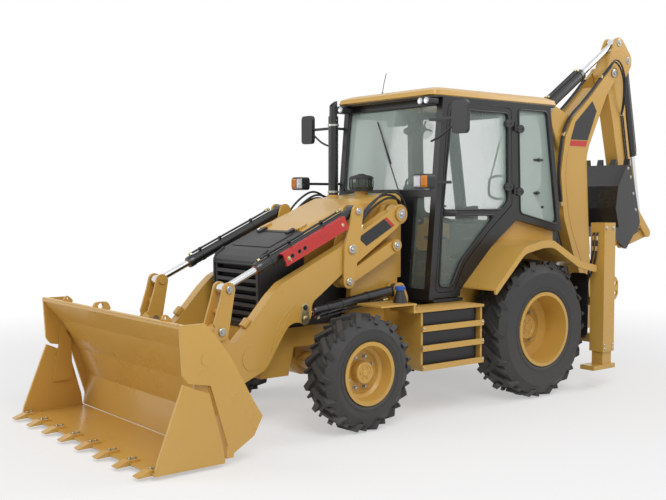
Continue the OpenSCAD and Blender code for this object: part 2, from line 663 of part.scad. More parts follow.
module boom_rod() color("#c8ccd0") translate([0, boom_y, 0]) {
  rod(BC0, BC1, 0, 32, 150, norm(BC1 - BC0));
  ybar(BC1, 46, -42, 42);
}
STICK = [[-1945, 3700], [-2040, 3690], [-2225, 3500], [-2225, 3400], [-2085, 3215], [-2136, 2811], [-2220, 2404],
  [-2307, 1922], [-2340, 1600], [-2200, 1580], [-2090, 1950], [-1880, 2796], [-1750, 3240], [-1770, 3340],
  [-1900, 3620]];
module stick() color("#d9a21b") translate([0, boom_y, 0]) {
  difference() {
    union() {
      plate(soft(STICK, 120), -stick_w / 2, stick_w / 2);
      ybar(H, 72, -stick_w / 2, stick_w / 2);
      ybar(G, 88, -stick_w / 2, stick_w / 2);
      ybar(G, 34, -boom_w / 2 - 8, boom_w / 2 + 8);
      ybar(H, 30, -stick_w / 2 - 60, stick_w / 2 + 60);
      ybar(R0, 28, -stick_w / 2 - 34, stick_w / 2 + 34);
    }
    ybar(SE, 195, -56, 56);
    ybar(C0, 180, -56, 56);
  }
  ybar(C0, 28, -60, 60);
}
module stick_barrel() color("#1d1e20") translate([0, boom_y, 0]) barrel(J, SE, 0, 58, 54, 50, 60, norm(SE - J) - 690, 34, 30);
module stick_rod() color("#c8ccd0") translate([0, boom_y, 0]) {
  rod(J, SE, 0, 34, 690, norm(SE - J));
  ybar(SE, 48, -50, 50);
}
module curl_barrel() color("#1d1e20") translate([0, boom_y, 0]) barrel(C0, J2, 0, 50, 48, 42, 60, norm(J2 - C0) - 908, 30, 28);
module curl_rod() color("#c8ccd0") translate([0, boom_y, 0]) {
  rod(C0, J2, 0, 30, 900, norm(J2 - C0));
  ybar(J2, 44, -40, 40);
}
module rocker() color("#d9a21b") translate([0, boom_y, 0]) both() difference() {
  link(R0, 50, J2, 50, stick_w / 2 + 6, stick_w / 2 + 28);
  ybar(R0, 28 + fit, -300, 300);
}
module power_link() color("#d9a21b") translate([0, boom_y, 0]) both() difference() {
  link(J2, 46, K2, 46, stick_w / 2 - 30, stick_w / 2 - 4);
  ybar(K2, 24 + fit, -300, 300);
}
module dig_bucket() color("#1d1e20") translate([0, boom_y, 0]) {
  h = dig_w / 2;
  ear = stick_w / 2 + 34;
  difference() {
    union() {
      both() plate([[-1925, 2270], [-1985, 2100], [-2060, 1850], [-2115, 1640], [-2070, 1530], [-1880, 1470],
        [-1720, 1590], [-1660, 1800], [-1700, 2040], [-1855, 2270]], h - 20, h);
      plate([[-2115, 1640], [-2070, 1530], [-1880, 1470], [-1720, 1590], [-1660, 1800], [-1700, 2040],
        [-1860, 2275], [-1890, 2260], [-1728, 2030], [-1690, 1802], [-1744, 1608], [-1885, 1504], [-2048, 1556],
        [-2088, 1650]], -h, h);
      both() {
        plate([H + [-60, 20], H + [0, -72], K2 + [-20, -50], K2 + [50, -10], [-1900, 1480], [-2075, 1530],
          [-2110, 1640], H + [20, 70]], ear, ear + 22);
        ybar(H, 72, ear, ear + 22);
        ybar(K2, 50, ear, ear + 22);
      }
      for (i = [0:3]) translate([0, -h + 5 + i * (dig_w - 80) / 3, 0])
        plate([[-1865, 2200], [-1905, 2340], [-1915, 2340], [-1925, 2240]], 0, 70);
    }
    ybar(H, 30 + fit, -400, 400);
  }
  both() ybar(K2, 24, stick_w / 2 - 32, ear + 22);
}

module placed() translate([-origin_ahead, 0, 0]) children();
placed() main_frame();
placed() engine();
placed() grille();
placed() front_axle();
placed() rear_axle();
placed() steps();
placed() fenders();
placed() cab_floor();
placed() cab_frame();
placed() cab_glass();
placed() cab_roof();
placed() seat();
placed() mirrors();
placed() lamps();
placed() stabilizer_frame();
placed() hood();
placed() exhaust();
placed() door(1);  // door_left
placed() door_glass(1);  // door_left_glass
placed() door(-1);  // door_right
placed() door_glass(-1);  // door_right_glass
placed() knuckle(1);  // knuckle_left
placed() knuckle(-1);  // knuckle_right
placed() front_tyre(1);  // front_tyre_left
placed() front_tyre(-1);  // front_tyre_right
placed() front_rim(1);  // front_rim_left
placed() front_rim(-1);  // front_rim_right
placed() rear_tyre(1);  // rear_tyre_left
placed() rear_tyre(-1);  // rear_tyre_right
placed() rear_rim(1);  // rear_rim_left
placed() rear_rim(-1);  // rear_rim_right
placed() loader_arms();
placed() rear_levers();
placed() tower_links();
placed() lift_barrels();
placed() lift_rods();
placed() tilt_barrels();
placed() tilt_rods();
placed() arm_brace();
placed() lever_pins();
placed() front_levers();
placed() bucket_pins();
placed() loader_bucket();
placed() clam();
placed() carriage();
placed() swing_post();
placed() boom();
placed() boom_barrel();
placed() boom_rod();
placed() stick();
placed() stick_barrel();
placed() stick_rod();
placed() curl_barrel();
placed() curl_rod();
placed() rocker();
placed() power_link();
placed() dig_bucket();
placed() leg(1);  // leg_left
placed() leg(-1);  // leg_right
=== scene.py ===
"""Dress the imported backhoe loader: finishes, fittings, lines, camera and light."""
from __future__ import annotations

import json
import logging
import math
from collections.abc import Callable
from dataclasses import dataclass, field
from enum import Enum

import bmesh
import bpy
from mathutils import Matrix, Vector

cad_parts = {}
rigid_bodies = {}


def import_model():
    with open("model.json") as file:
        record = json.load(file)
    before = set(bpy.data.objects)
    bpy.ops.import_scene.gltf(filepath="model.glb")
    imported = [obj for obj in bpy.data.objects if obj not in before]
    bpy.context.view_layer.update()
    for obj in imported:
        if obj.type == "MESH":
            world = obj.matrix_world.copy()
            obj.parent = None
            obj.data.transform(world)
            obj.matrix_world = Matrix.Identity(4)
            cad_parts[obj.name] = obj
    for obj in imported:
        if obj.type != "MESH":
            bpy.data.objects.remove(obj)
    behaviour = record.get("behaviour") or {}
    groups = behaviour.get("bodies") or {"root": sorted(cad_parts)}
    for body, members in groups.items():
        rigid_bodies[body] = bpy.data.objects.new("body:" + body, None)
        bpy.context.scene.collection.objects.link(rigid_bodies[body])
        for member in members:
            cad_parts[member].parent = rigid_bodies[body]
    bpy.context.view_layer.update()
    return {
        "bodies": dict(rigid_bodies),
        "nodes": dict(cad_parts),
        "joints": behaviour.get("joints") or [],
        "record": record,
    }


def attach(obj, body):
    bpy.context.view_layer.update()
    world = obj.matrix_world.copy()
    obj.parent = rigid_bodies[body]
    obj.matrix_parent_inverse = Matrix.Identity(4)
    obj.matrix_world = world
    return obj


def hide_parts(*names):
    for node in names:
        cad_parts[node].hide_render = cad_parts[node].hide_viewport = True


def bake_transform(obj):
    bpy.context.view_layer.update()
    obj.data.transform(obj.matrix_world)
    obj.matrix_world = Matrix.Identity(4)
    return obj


LOG = logging.getLogger("backhoe_loader")
ORIGIN_AHEAD = 0.8605  # The frame's origin lies this far ahead of the rear axle.
ROUND = 60.0  # Smoothing angle of round lines, in degrees.
UP, AHEAD = Vector((0, 0, 1)), Vector((1, 0, 0))
Point = tuple[float, float, float]
Place = tuple[float, float]
Outline = tuple[Place, ...]
Color = tuple[float, float, float, float]
Value = float | Color | bpy.types.NodeSocket


def at(x: float, y: float, z: float) -> Vector:
    """Turn a place measured from the rear axle into the frame.

    Args:
        x: Metres ahead of the rear axle.
        y: Metres to the left of the middle.
        z: Metres above the ground.

    Returns:
        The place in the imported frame.
    """
    return Vector((x - ORIGIN_AHEAD, y, z))


@dataclass(frozen=True)
class Side:
    """The left or the right side of the machine."""

    sign: int
    word: str

    @property
    def out(self) -> Vector:
        """The way outward."""
        return Vector((0, self.sign, 0))

    def at(self, x: float, y: float, z: float) -> Vector:
        """Turn a place on this side, y metres outward, into the frame."""
        return at(x, self.sign * y, z)


SIDES = (Side(1, "left"), Side(-1, "right"))


@dataclass(frozen=True)
class Along:
    """A line in the side plane from one pin towards another."""

    start: Place
    end: Place
    y: float

    @property
    def run(self) -> Vector:
        """The way along the line."""
        return Vector((self.end[0] - self.start[0], 0, self.end[1] - self.start[1])).normalized()

    def place(self, u: float, over: float, aside: float = 0.0) -> Vector:
        """A place beside the line.

        Args:
            u: How far along.
            over: How far above the line.
            aside: How far to the left.

        Returns:
            The place in the frame.
        """
        run = self.run
        rise = Vector((-run.z, 0, run.x))
        rise = rise if rise.z > 0 else -rise
        return at(self.start[0], self.y + aside, self.start[1]) + run * u + rise * over


def feed(tree: bpy.types.NodeTree, node: bpy.types.Node, values: dict[str | int, Value]) -> None:
    """Link a node's inputs to sockets, or set them to constants.

    Args:
        tree: The tree to work in.
        node: The node.
        values: Constants or sockets by input name or number.
    """
    for label, value in values.items():
        if isinstance(value, bpy.types.NodeSocket):
            tree.links.new(value, node.inputs[label])
        else:
            node.inputs[label].default_value = value


def add_node(tree: bpy.types.NodeTree, kind: str, values: dict[str | int, Value],
             operation: str = "") -> bpy.types.Node:
    """Add a shader node and feed its inputs.

    Args:
        tree: The tree to work in.
        kind: The node's type, without its ShaderNode prefix.
        values: Constants or sockets by input name or number.
        operation: The node's operation, where it has one.

    Returns:
        The new node.
    """
    node = tree.nodes.new("ShaderNode" + kind)
    if operation:
        node.operation = operation
    feed(tree, node, values)
    return node


def ranged(tree: bpy.types.NodeTree, values: dict[str | int, Value]) -> bpy.types.NodeSocket:
    """Map a value from one range to another, all given by input name."""
    return add_node(tree, "MapRange", values).outputs["Result"]


def product(tree: bpy.types.NodeTree, first: Value, second: Value) -> bpy.types.NodeSocket:
    """Multiply two values."""
    return add_node(tree, "Math", {0: first, 1: second}, "MULTIPLY").outputs["Value"]


def mixed(tree: bpy.types.NodeTree, mask: bpy.types.NodeSocket, first: Value,
          second: Color) -> bpy.types.NodeSocket:
    """Mix two colours, or a socket and a colour, by a mask.

    Args:
        tree: The material's tree.
        mask: The mask socket.
        first: A colour or a colour socket.
        second: A colour.

    Returns:
        The mixed colour's socket.
    """
    mix = tree.nodes.new("ShaderNodeMix")
    mix.data_type = "RGBA"
    feed(tree, mix, {"Factor": mask, "A": first, "B": second})
    return mix.outputs["Result"]


class Effect(Enum):
    """Shared shader effects, each built once as a node group."""

    MOTTLE = "mottle"
    GRAIN = "grain"
    # Painted edge highlights with some wear: a lighter colour along the corners.
    EDGE = "scuffed_edge_painted_highlight"
    DUST = "ground_dust"


class EffectLibrary:
    """Builds the shared shader node groups and hands them out."""

    def __init__(self) -> None:
        """Start with no groups built."""
        self._groups: dict[Effect, bpy.types.NodeTree] = {}

    def use(self, tree: bpy.types.NodeTree, effect: Effect,
            **values: float) -> bpy.types.NodeSocket:
        """Place an effect in a material, building its group on first use.

        Args:
            tree: The material's tree.
            effect: Which effect.
            **values: The group's input values.

        Returns:
            The effect's result.
        """
        if effect not in self._groups:
            self._groups[effect] = getattr(self, "_" + effect.value)()
        node = tree.nodes.new("ShaderNodeGroup")
        node.node_tree = self._groups[effect]
        feed(tree, node, values)
        return node.outputs[0]

    @staticmethod
    def _start(name: str, inputs: dict[str, float], output: str) -> tuple:
        """Make an empty group with named float sockets.

        Args:
            name: The group's name.
            inputs: Input names with their defaults.
            output: The output's name.

        Returns:
            The tree, its inputs' sockets by name and its output's socket.
        """
        tree = bpy.data.node_groups.new(name, "ShaderNodeTree")
        for label, value in inputs.items():
            socket = tree.interface.new_socket(label, in_out="INPUT", socket_type="NodeSocketFloat")
            socket.default_value = value
        tree.interface.new_socket(output, in_out="OUTPUT", socket_type="NodeSocketFloat")
        given, result = tree.nodes.new("NodeGroupInput"), tree.nodes.new("NodeGroupOutput")
        return tree, given.outputs, result.inputs[output]

    @staticmethod
    def _noise(tree: bpy.types.NodeTree, scale: Value, detail: float,
               rough: float) -> bpy.types.NodeSocket:
        """Add a noise texture that is fixed to the object.

        Args:
            tree: The group's tree.
            scale: The noise's scale.
            detail: Octaves of noise.
            rough: How strong the fine octaves are.

        Returns:
            The noise's socket.
        """
        place = tree.nodes.new("ShaderNodeTexCoord")
        noise = add_node(tree, "TexNoise", {"Vector": place.outputs["Object"], "Scale": scale,
                                            "Detail": detail, "Roughness": rough})
        return noise.outputs["Fac"]

    def _mottle(self) -> bpy.types.NodeTree:
        """Broad, soft patches for uneven colour and gloss.

        Returns:
            The group.
        """
        tree, given, result = self._start("mottle", {"Scale": 2.0, "Contrast": 0.5}, "Mask")
        noise = self._noise(tree, given["Scale"], 4.0, 0.55)
        spread = ranged(tree, {"Value": noise, "From Min": 0.32, "From Max": 0.68,
                               "To Max": given["Contrast"]})
        tree.links.new(spread, result)
        return tree

    def _grain(self) -> bpy.types.NodeTree:
        """Fine even grain for bump.

        Returns:
            The group.
        """
        tree, given, result = self._start("grain", {"Scale": 300.0}, "Height")
        tree.links.new(self._noise(tree, given["Scale"], 2.0, 0.6), result)
        return tree

    def _scuffed_edge_painted_highlight(self) -> bpy.types.NodeTree:
        """Lighter rims along the corners, broken up by noise: painted edge highlights with some
        wear.

        Returns:
            The group.
        """
        tree, given, result = self._start("scuffed_edge_painted_highlight", {"Width": 0.006, "Amount": 0.5}, "Mask")
        bevel = add_node(tree, "Bevel", {"Radius": given["Width"]})
        bevel.samples = 4
        flat = tree.nodes.new("ShaderNodeNewGeometry")
        dot = add_node(tree, "VectorMath", {0: bevel.outputs["Normal"], 1: flat.outputs["Normal"]},
                       "DOT_PRODUCT")
        edge = ranged(tree, {"Value": dot.outputs["Value"], "From Min": 0.995, "From Max": 0.86})
        noise = self._noise(tree, 26.0, 5.0, 0.7)
        broken = ranged(tree, {"Value": noise, "From Min": 0.45, "From Max": 0.62})
        tree.links.new(product(tree, product(tree, edge, broken), given["Amount"]), result)
        return tree

    def _ground_dust(self) -> bpy.types.NodeTree:
        """Dust that thins out with height above the ground.

        Returns:
            The group.
        """
        tree, given, result = self._start("ground_dust", {"Top": 1.0, "Amount": 0.3}, "Mask")
        place = tree.nodes.new("ShaderNodeTexCoord")
        split = add_node(tree, "SeparateXYZ", {"Vector": place.outputs["Object"]})
        fall = ranged(tree, {"Value": split.outputs["Z"], "From Max": given["Top"],
                             "To Min": 1.0, "To Max": 0.0})
        noise = self._noise(tree, 7.0, 6.0, 0.65)
        tree.links.new(product(tree, product(tree, fall, noise), given["Amount"]), result)
        return tree


EFFECTS = EffectLibrary()


@dataclass(frozen=True)
class Coating:
    """What all finishes share: a name, a colour and a material that is made once."""

    name: str
    color: Color

    def build(self) -> bpy.types.Material:
        """Make the material once.

        Returns:
            The Blender material.
        """
        title = self.name + "_finish"
        known = bpy.data.materials.get(title)
        if known:
            return known
        mat = bpy.data.materials.new(title)
        mat.use_nodes = True
        mat.diffuse_color = self.color
        self.shade(mat.node_tree, mat.node_tree.nodes["Principled BSDF"])
        return mat

    def shade(self, tree: bpy.types.NodeTree, shader: bpy.types.Node) -> None:
        """Set up the material's nodes, each kind of finish in its own way.

        Args:
            tree: The material's tree.
            shader: Its surface shader.
        """
        raise NotImplementedError


@dataclass(frozen=True)
class Finish(Coating):
    """A solid finish: paint, plastic, rubber, cloth or metal."""

    light: Color
    rough: float
    rough_spread: float = 0.1
    metal: float = 0.0
    patch: float = 2.0
    contrast: float = 0.5
    grain: float = 400.0
    bump: float = 0.02
    depth: float = 0.0004
    coat: float = 0.0
    coat_rough: float = 0.08
    # Lighter colour along the corners: painted edge highlights with some wear.
    scuff_and_painted_highlight: float = 0.0
    scuff_and_painted_highlight_width: float = 0.007
    scuff_and_painted_highlight_color: Color = (0.30, 0.29, 0.27, 1.0)
    dust: float = 0.0
    dust_top: float = 1.1
    dust_color: Color = (0.40, 0.35, 0.28, 1.0)

    def shade(self, tree: bpy.types.NodeTree, shader: bpy.types.Node) -> None:
        """Set up the material's nodes.

        Args:
            tree: The material's tree.
            shader: Its surface shader.
        """
        patches = EFFECTS.use(tree, Effect.MOTTLE, Scale=self.patch, Contrast=self.contrast)
        color = mixed(tree, patches, self.color, self.light)
        # Painted edge highlights with some wear: the corners are mixed towards a lighter colour.
        if self.scuff_and_painted_highlight:
            edge = EFFECTS.use(tree, Effect.EDGE, Width=self.scuff_and_painted_highlight_width, Amount=self.scuff_and_painted_highlight)
            color = mixed(tree, edge, color, self.scuff_and_painted_highlight_color)
        if self.dust:
            dust = EFFECTS.use(tree, Effect.DUST, Top=self.dust_top, Amount=self.dust)
            color = mixed(tree, dust, color, self.dust_color)
        rough = ranged(tree, {"Value": patches, "To Min": max(0.03, self.rough - self.rough_spread),
                              "To Max": min(1.0, self.rough + self.rough_spread)})
        grain = EFFECTS.use(tree, Effect.GRAIN, Scale=self.grain)
        bump = add_node(tree, "Bump", {"Strength": self.bump, "Distance": self.depth,
                                       "Height": grain})
        feed(tree, shader, {"Base Color": color, "Metallic": self.metal, "Roughness": rough,
                            "Coat Weight": self.coat, "Coat Roughness": self.coat_rough,
                            "Normal": bump.outputs["Normal"]})


@dataclass(frozen=True)
class Glass(Coating):
    """See-through glass or lens plastic whose clearness falls off at a slant."""

    clear: float
    rough: float = 0.04
    rough_spread: float = 0.05
    patch: float = 1.3
    contrast: float = 0.5
    deepen: float = 0.86
    slant: float = 0.25
    slant_alpha: float = 0.85

    def shade(self, tree: bpy.types.NodeTree, shader: bpy.types.Node) -> None:
        """Set up the material's nodes.

        Args:
            tree: The material's tree.
            shader: Its surface shader.
        """
        patches = EFFECTS.use(tree, Effect.MOTTLE, Scale=self.patch, Contrast=self.contrast)
        deep = tuple(self.deepen * c for c in self.color[:3]) + (1.0,)
        rough = ranged(tree, {"Value": patches, "To Min": self.rough,
                              "To Max": self.rough + self.rough_spread})
        slant = add_node(tree, "LayerWeight", {"Blend": self.slant})
        alpha = ranged(tree, {"Value": slant.outputs["Fresnel"], "To Min": 1.0 - self.clear,
                              "To Max": self.slant_alpha})
        feed(tree, shader, {"Base Color": mixed(tree, patches, self.color, deep), "Metallic": 0.0,
                            "Roughness": rough, "Alpha": alpha})


# Each finish's colour for worn edges is a lighter tone of it: painted edge highlights as well as
# wear.
YELLOW = Finish("machine_yellow", (0.585, 0.338, 0.066, 1), (0.635, 0.378, 0.084, 1), 0.36,
                grain=520, bump=0.05, coat=0.15, scuff_and_painted_highlight=0.10, scuff_and_painted_highlight_color=(0.66, 0.44, 0.16, 1), dust=0.10)
RIM_YELLOW = Finish("rim_yellow", (0.580, 0.332, 0.056, 1), (0.630, 0.370, 0.074, 1), 0.38,
                    patch=4.0, grain=500, bump=0.05, dust=0.22)
BLACK = Finish("black_paint", (0.012, 0.012, 0.014, 1), (0.022, 0.022, 0.024, 1), 0.34,
               grain=500, bump=0.05, scuff_and_painted_highlight=0.25, scuff_and_painted_highlight_color=(0.08, 0.08, 0.085, 1))
PLASTIC = Finish("black_plastic", (0.016, 0.016, 0.018, 1), (0.03, 0.03, 0.032, 1), 0.52,
                 grain=900, bump=0.25, depth=0.0006)
ENGINE = Finish("engine_grey", (0.05, 0.05, 0.055, 1), (0.09, 0.088, 0.085, 1), 0.6,
                patch=6.0, grain=200, bump=0.3, depth=0.001)
RUBBER = Finish("tyre_rubber", (0.026, 0.026, 0.027, 1), (0.046, 0.045, 0.044, 1), 0.68,
                patch=5.0, grain=260, bump=0.35, depth=0.001, scuff_and_painted_highlight=0.35,
                scuff_and_painted_highlight_color=(0.07, 0.068, 0.064, 1), dust=0.30, dust_color=(0.16, 0.145, 0.12, 1))
HOSE = Finish("hose_rubber", (0.012, 0.012, 0.013, 1), (0.022, 0.022, 0.022, 1), 0.5,
              patch=12.0, grain=700, bump=0.3)
CYLINDER = Finish("cylinder_black", (0.014, 0.014, 0.016, 1), (0.026, 0.026, 0.028, 1), 0.3,
                  patch=4.0, grain=500, bump=0.04, coat=0.2, scuff_and_painted_highlight=0.2, scuff_and_painted_highlight_color=(0.09, 0.09, 0.09, 1))
CHROME = Finish("chrome_rod", (0.72, 0.73, 0.75, 1), (0.66, 0.67, 0.70, 1), 0.12,
                rough_spread=0.05, metal=1.0, grain=900, bump=0.01)
STEEL = Finish("pin_steel", (0.42, 0.41, 0.39, 1), (0.52, 0.51, 0.48, 1), 0.34,
               metal=0.9, grain=700, bump=0.06)
ZINC = Finish("zinc_plate", (0.55, 0.45, 0.22, 1), (0.48, 0.45, 0.36, 1), 0.34,
              metal=0.85, patch=18.0, grain=700, bump=0.06)
RED = Finish("brace_red", (0.52, 0.018, 0.016, 1), (0.60, 0.035, 0.025, 1), 0.34,
             grain=500, bump=0.05, coat=0.2, scuff_and_painted_highlight=0.12, scuff_and_painted_highlight_color=(0.62, 0.12, 0.08, 1))
FABRIC = Finish("seat_fabric", (0.018, 0.018, 0.020, 1), (0.035, 0.035, 0.038, 1), 0.9,
                patch=30.0, grain=1400, bump=0.6, depth=0.0012)
BLUE = Finish("cap_blue", (0.02, 0.10, 0.42, 1), (0.03, 0.14, 0.5, 1), 0.4,
              patch=20.0, grain=600, bump=0.1)
WHITE = Finish("lamp_reflector", (0.80, 0.81, 0.83, 1), (0.72, 0.73, 0.76, 1), 0.16,
               metal=0.9, patch=40.0, grain=500, bump=0.02)
MIRROR = Finish("mirror_face", (0.82, 0.84, 0.86, 1), (0.78, 0.80, 0.82, 1), 0.05,
                rough_spread=0.02, metal=1.0, grain=500, bump=0.0)
BOWL = Finish("cleaner_bowl_green", (0.010, 0.022, 0.014, 1), (0.020, 0.040, 0.026, 1), 0.14,
              rough_spread=0.05, patch=14.0, grain=500, bump=0.02, coat=0.5)
COPPER = Finish("wiper_seal", (0.28, 0.09, 0.03, 1), (0.34, 0.13, 0.05, 1), 0.5,
                patch=20.0, grain=700, bump=0.1)
TINTED = Glass("tinted_glass", (0.62, 0.74, 0.69, 1), 0.90)
LENS = Glass("clear_lens", (0.86, 0.89, 0.92, 1), 0.72, 0.06)
AMBER = Glass("amber_lens", (0.90, 0.30, 0.02, 1), 0.25, 0.12)

# The finishes that bear the name of a slot in the record.
BY_SLOT = {finish.name: finish for finish in (
    YELLOW, RIM_YELLOW, PLASTIC, BLACK, ENGINE, TINTED, FABRIC, RUBBER, CYLINDER, CHROME, RED,
    STEEL)}


def turns(count: int, first: float = 0) -> list[float]:
    """Even angles around a circle in radians, the first one some steps on."""
    return [2 * math.pi * (i + first) / count for i in range(count)]


def oval(x: float, z: float, wide: float, tall: float, count: int) -> list[Place]:
    """The outline of an oval, from its middle and half its width and height."""
    return [(x + wide * math.cos(a), z + tall * math.sin(a)) for a in turns(count)]


def soften(outline: Outline, radius: float, steps: int = 4) -> list[Place]:
    """Round the corners of an outline.

    Args:
        outline: Its corners in order.
        radius: How far from a corner the rounding starts.
        steps: Spans in each rounded corner.

    Returns:
        The points of the rounded outline.
    """
    points = []
    for i, corner in enumerate(outline):
        here = Vector(corner)
        before, after = Vector(outline[i - 1]), Vector(outline[(i + 1) % len(outline)])
        a = here + (before - here).normalized() * min(radius, 0.45 * (before - here).length)
        b = here + (after - here).normalized() * min(radius, 0.45 * (after - here).length)
        for t in (k / steps for k in range(steps + 1)):
            points.append(tuple(a.lerp(here, t).lerp(here.lerp(b, t), t)))
    return points


def spline(points: list[Vector], steps: int) -> list[Vector]:
    """Run a soft curve through points.

    Args:
        points: Three or more places.
        steps: New points in each span.

    Returns:
        The points of the curve.
    """
    ends = [2 * points[0] - points[1], *points, 2 * points[-1] - points[-2]]
    route = []
    for a, b, c, d in zip(ends, ends[1:], ends[2:], ends[3:]):
        for t in (k / steps for k in range(steps)):
            route.append(0.5 * (2 * b + (c - a) * t + (2 * a - 5 * b + 4 * c - d) * t * t
                                + (3 * b - a - 3 * c + d) * t ** 3))
    return [*route, points[-1]]


def facing(axis: Vector) -> Matrix:
    """The turn that carries Z onto an axis."""
    return Vector(axis).normalized().to_track_quat("Z", "Y").to_matrix().to_4x4()


def round_edges(obj: bpy.types.Object, width: float) -> None:
    """Add a bevel that rounds the sharp edges of an object.

    Args:
        obj: The object.
        width: The rounding's width.
    """
    mod = obj.modifiers.new("rounded", "BEVEL")
    mod.width = width
    mod.segments = 2
    mod.limit_method = "ANGLE"
    mod.angle_limit = math.radians(38)
    mod.harden_normals = True


class Work:
    """One mesh in the making, which becomes a piece of the machine."""

    def __init__(self) -> None:
        """Start with an empty mesh."""
        self.mesh = bmesh.new()

    def to_object(self, name: str) -> bpy.types.Object:
        """Turn the mesh into an object of the scene, and free it.

        Args:
            name: The object's name.

        Returns:
            The new object.
        """
        bmesh.ops.recalc_face_normals(self.mesh, faces=self.mesh.faces)
        data = bpy.data.meshes.new(name)
        self.mesh.to_mesh(data)
        self.mesh.free()
        obj = bpy.data.objects.new(name, data)
        bpy.context.scene.collection.objects.link(obj)
        return obj

    def piece(self, name: str, body: str, finish: Coating, smooth: float = 35.0,
              bevel: float = 0.0) -> bpy.types.Object:
        """Turn the mesh into a piece that rides on a body.

        Args:
            name: The piece's name.
            body: The body that carries it, or nothing for a piece that is left unattached.
            finish: Its finish.
            smooth: Faces that meet at less than this angle are shaded smooth.
            bevel: Width of a rounded edge, or 0.

        Returns:
            The new object.
        """
        obj = self.to_object(name)
        obj.data.materials.append(finish.build())
        if bevel:
            round_edges(obj, bevel)
        obj.data.shade_smooth()
        obj.data.set_sharp_from_angle(angle=math.radians(smooth))
        if body:
            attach(obj, body)
        LOG.info("piece %s on %s", name, body or "two bodies")
        return obj

    def box(self, low: Point, high: Point, turn: Matrix | None = None, sign: int = 1) -> Work:
        """Add a box between two corners, given from the rear axle.

        Args:
            low: The lowest corner, on the left side.
            high: The highest corner.
            turn: A turn about the box's middle, if any.
            sign: -1 to put it on the right side instead.

        Returns:
            This work.
        """
        lo, hi = at(*low), at(*high)
        middle = (lo + hi) / 2
        middle.y *= sign
        size = Matrix.Diagonal(tuple(hi - lo) + (1.0,))
        place = Matrix.Translation(middle) @ (turn or Matrix.Identity(4)) @ size
        bmesh.ops.create_cube(self.mesh, size=1.0, matrix=place)
        return self

    def lathe(self, middle: Vector, axis: Vector, profile: list[Place], sides: int = 32) -> Work:
        """Add a turned shape.

        Args:
            middle: Where the profile's zero height lies, in the frame.
            axis: The turning axis.
            profile: Pairs of radius and height along the axis; a radius of 0 closes an end.
            sides: Faces around.

        Returns:
            This work.
        """
        place = Matrix.Translation(middle) @ facing(axis)
        rings = []
        for r, height in profile:
            spots = [(r * math.cos(a), r * math.sin(a), height) for a in turns(sides)]
            rings.append([self.mesh.verts.new(place @ Vector(spot))
                          for spot in (spots if r > 0 else spots[:1])])
        for low, high in zip(rings, rings[1:]):
            for i in range(sides):
                j = (i + 1) % sides
                spans = ((low, i), (low, j), (high, j), (high, i))
                quad = [ring[k % len(ring)] for ring, k in spans]
                face = list(dict.fromkeys(quad))
                if len(face) > 2:
                    self.mesh.faces.new(face)
        return self

    def bolt(self, place: Vector, axis: Vector, radius: float, height: float) -> Work:
        """Add a hexagon bolt head on a washer.

        Args:
            place: Where it sits, in the frame.
            axis: The way its head looks.
            radius: The head's radius.
            height: The head's height.

        Returns:
            This work.
        """
        washer, thick = radius * 1.35, height * 0.25
        self.lathe(place, axis, [(0, -0.002), (washer, -0.002), (washer, thick), (0, thick)], 20)
        return self.lathe(place, axis, [(0, 0.0), (radius, 0.0), (radius, height * 0.85),
                                        (radius * 0.85, height), (0, height)], 6)

    def union(self, place: Vector, axis: Vector, radius: float, half: float) -> Work:
        """Add a hexagon union on a line, from its middle and half its length."""
        return self.lathe(place, axis, [(0, -half), (radius, -half), (radius, half), (0, half)], 6)

    def sweep(self, route: list[Vector], radius: float, sides: int = 12,
              closed: bool = False) -> Work:
        """Sweep a circle along a route, with flat ends or as a closed loop.

        Args:
            route: The points of the middle line.
            radius: The radius.
            sides: Faces around.
            closed: Whether the route's last point joins its first.

        Returns:
            This work.
        """
        last = len(route) - 1
        ahead = (route[1] - route[0]).normalized()
        side = ahead.orthogonal().normalized()
        if closed:
            middle = sum(route, Vector()) / len(route)
            side = (middle - route[0]).cross(ahead).normalized()
        rings = []
        for i, spot in enumerate(route):
            after = (i + 1) % len(route) if closed else min(i + 1, last)
            before = i - 1 if closed else max(i - 1, 0)
            ahead = (route[after] - route[before]).normalized()
            side = (side - side.dot(ahead) * ahead).normalized()
            up = ahead.cross(side)
            ring = [spot + radius * (math.cos(a) * side + math.sin(a) * up) for a in turns(sides)]
            rings.append([self.mesh.verts.new(place) for place in ring])
        for low, high in zip(rings, rings[1:] + rings[:1] if closed else rings[1:]):
            for k in range(sides):
                j = (k + 1) % sides
                self.mesh.faces.new([low[k], low[j], high[j], high[k]])
        if not closed:
            self.mesh.faces.new(rings[0][::-1])
            self.mesh.faces.new(rings[-1])
        return self

    def bend(self, points: list[Vector], radius: float, steps: int = 6, sides: int = 12) -> Work:
        """Sweep a circle along a soft curve through points."""
        return self.sweep(spline(points, steps), radius, sides)

    def shell(self, near: list[Vector], far: list[Vector]) -> Work:
        """Add a flat piece between two outlines.

        Args:
            near: The places of one outline, in the frame.
            far: The same places on the other face.

        Returns:
            This work.
        """
        front = [self.mesh.verts.new(place) for place in near]
        back = [self.mesh.verts.new(place) for place in far]
        self.mesh.faces.new(front)
        self.mesh.faces.new(back[::-1])
        for i in range(len(front)):
            j = (i + 1) % len(front)
            self.mesh.faces.new([front[i], back[i], back[j], front[j]])
        return self

    def plate(self, outline: list[Place] | Outline, near: float, far: float) -> Work:
        """Add a flat piece with an outline of x and z between two values of y."""
        return self.shell(*([at(x, y, z) for x, z in outline] for y in (near, far)))


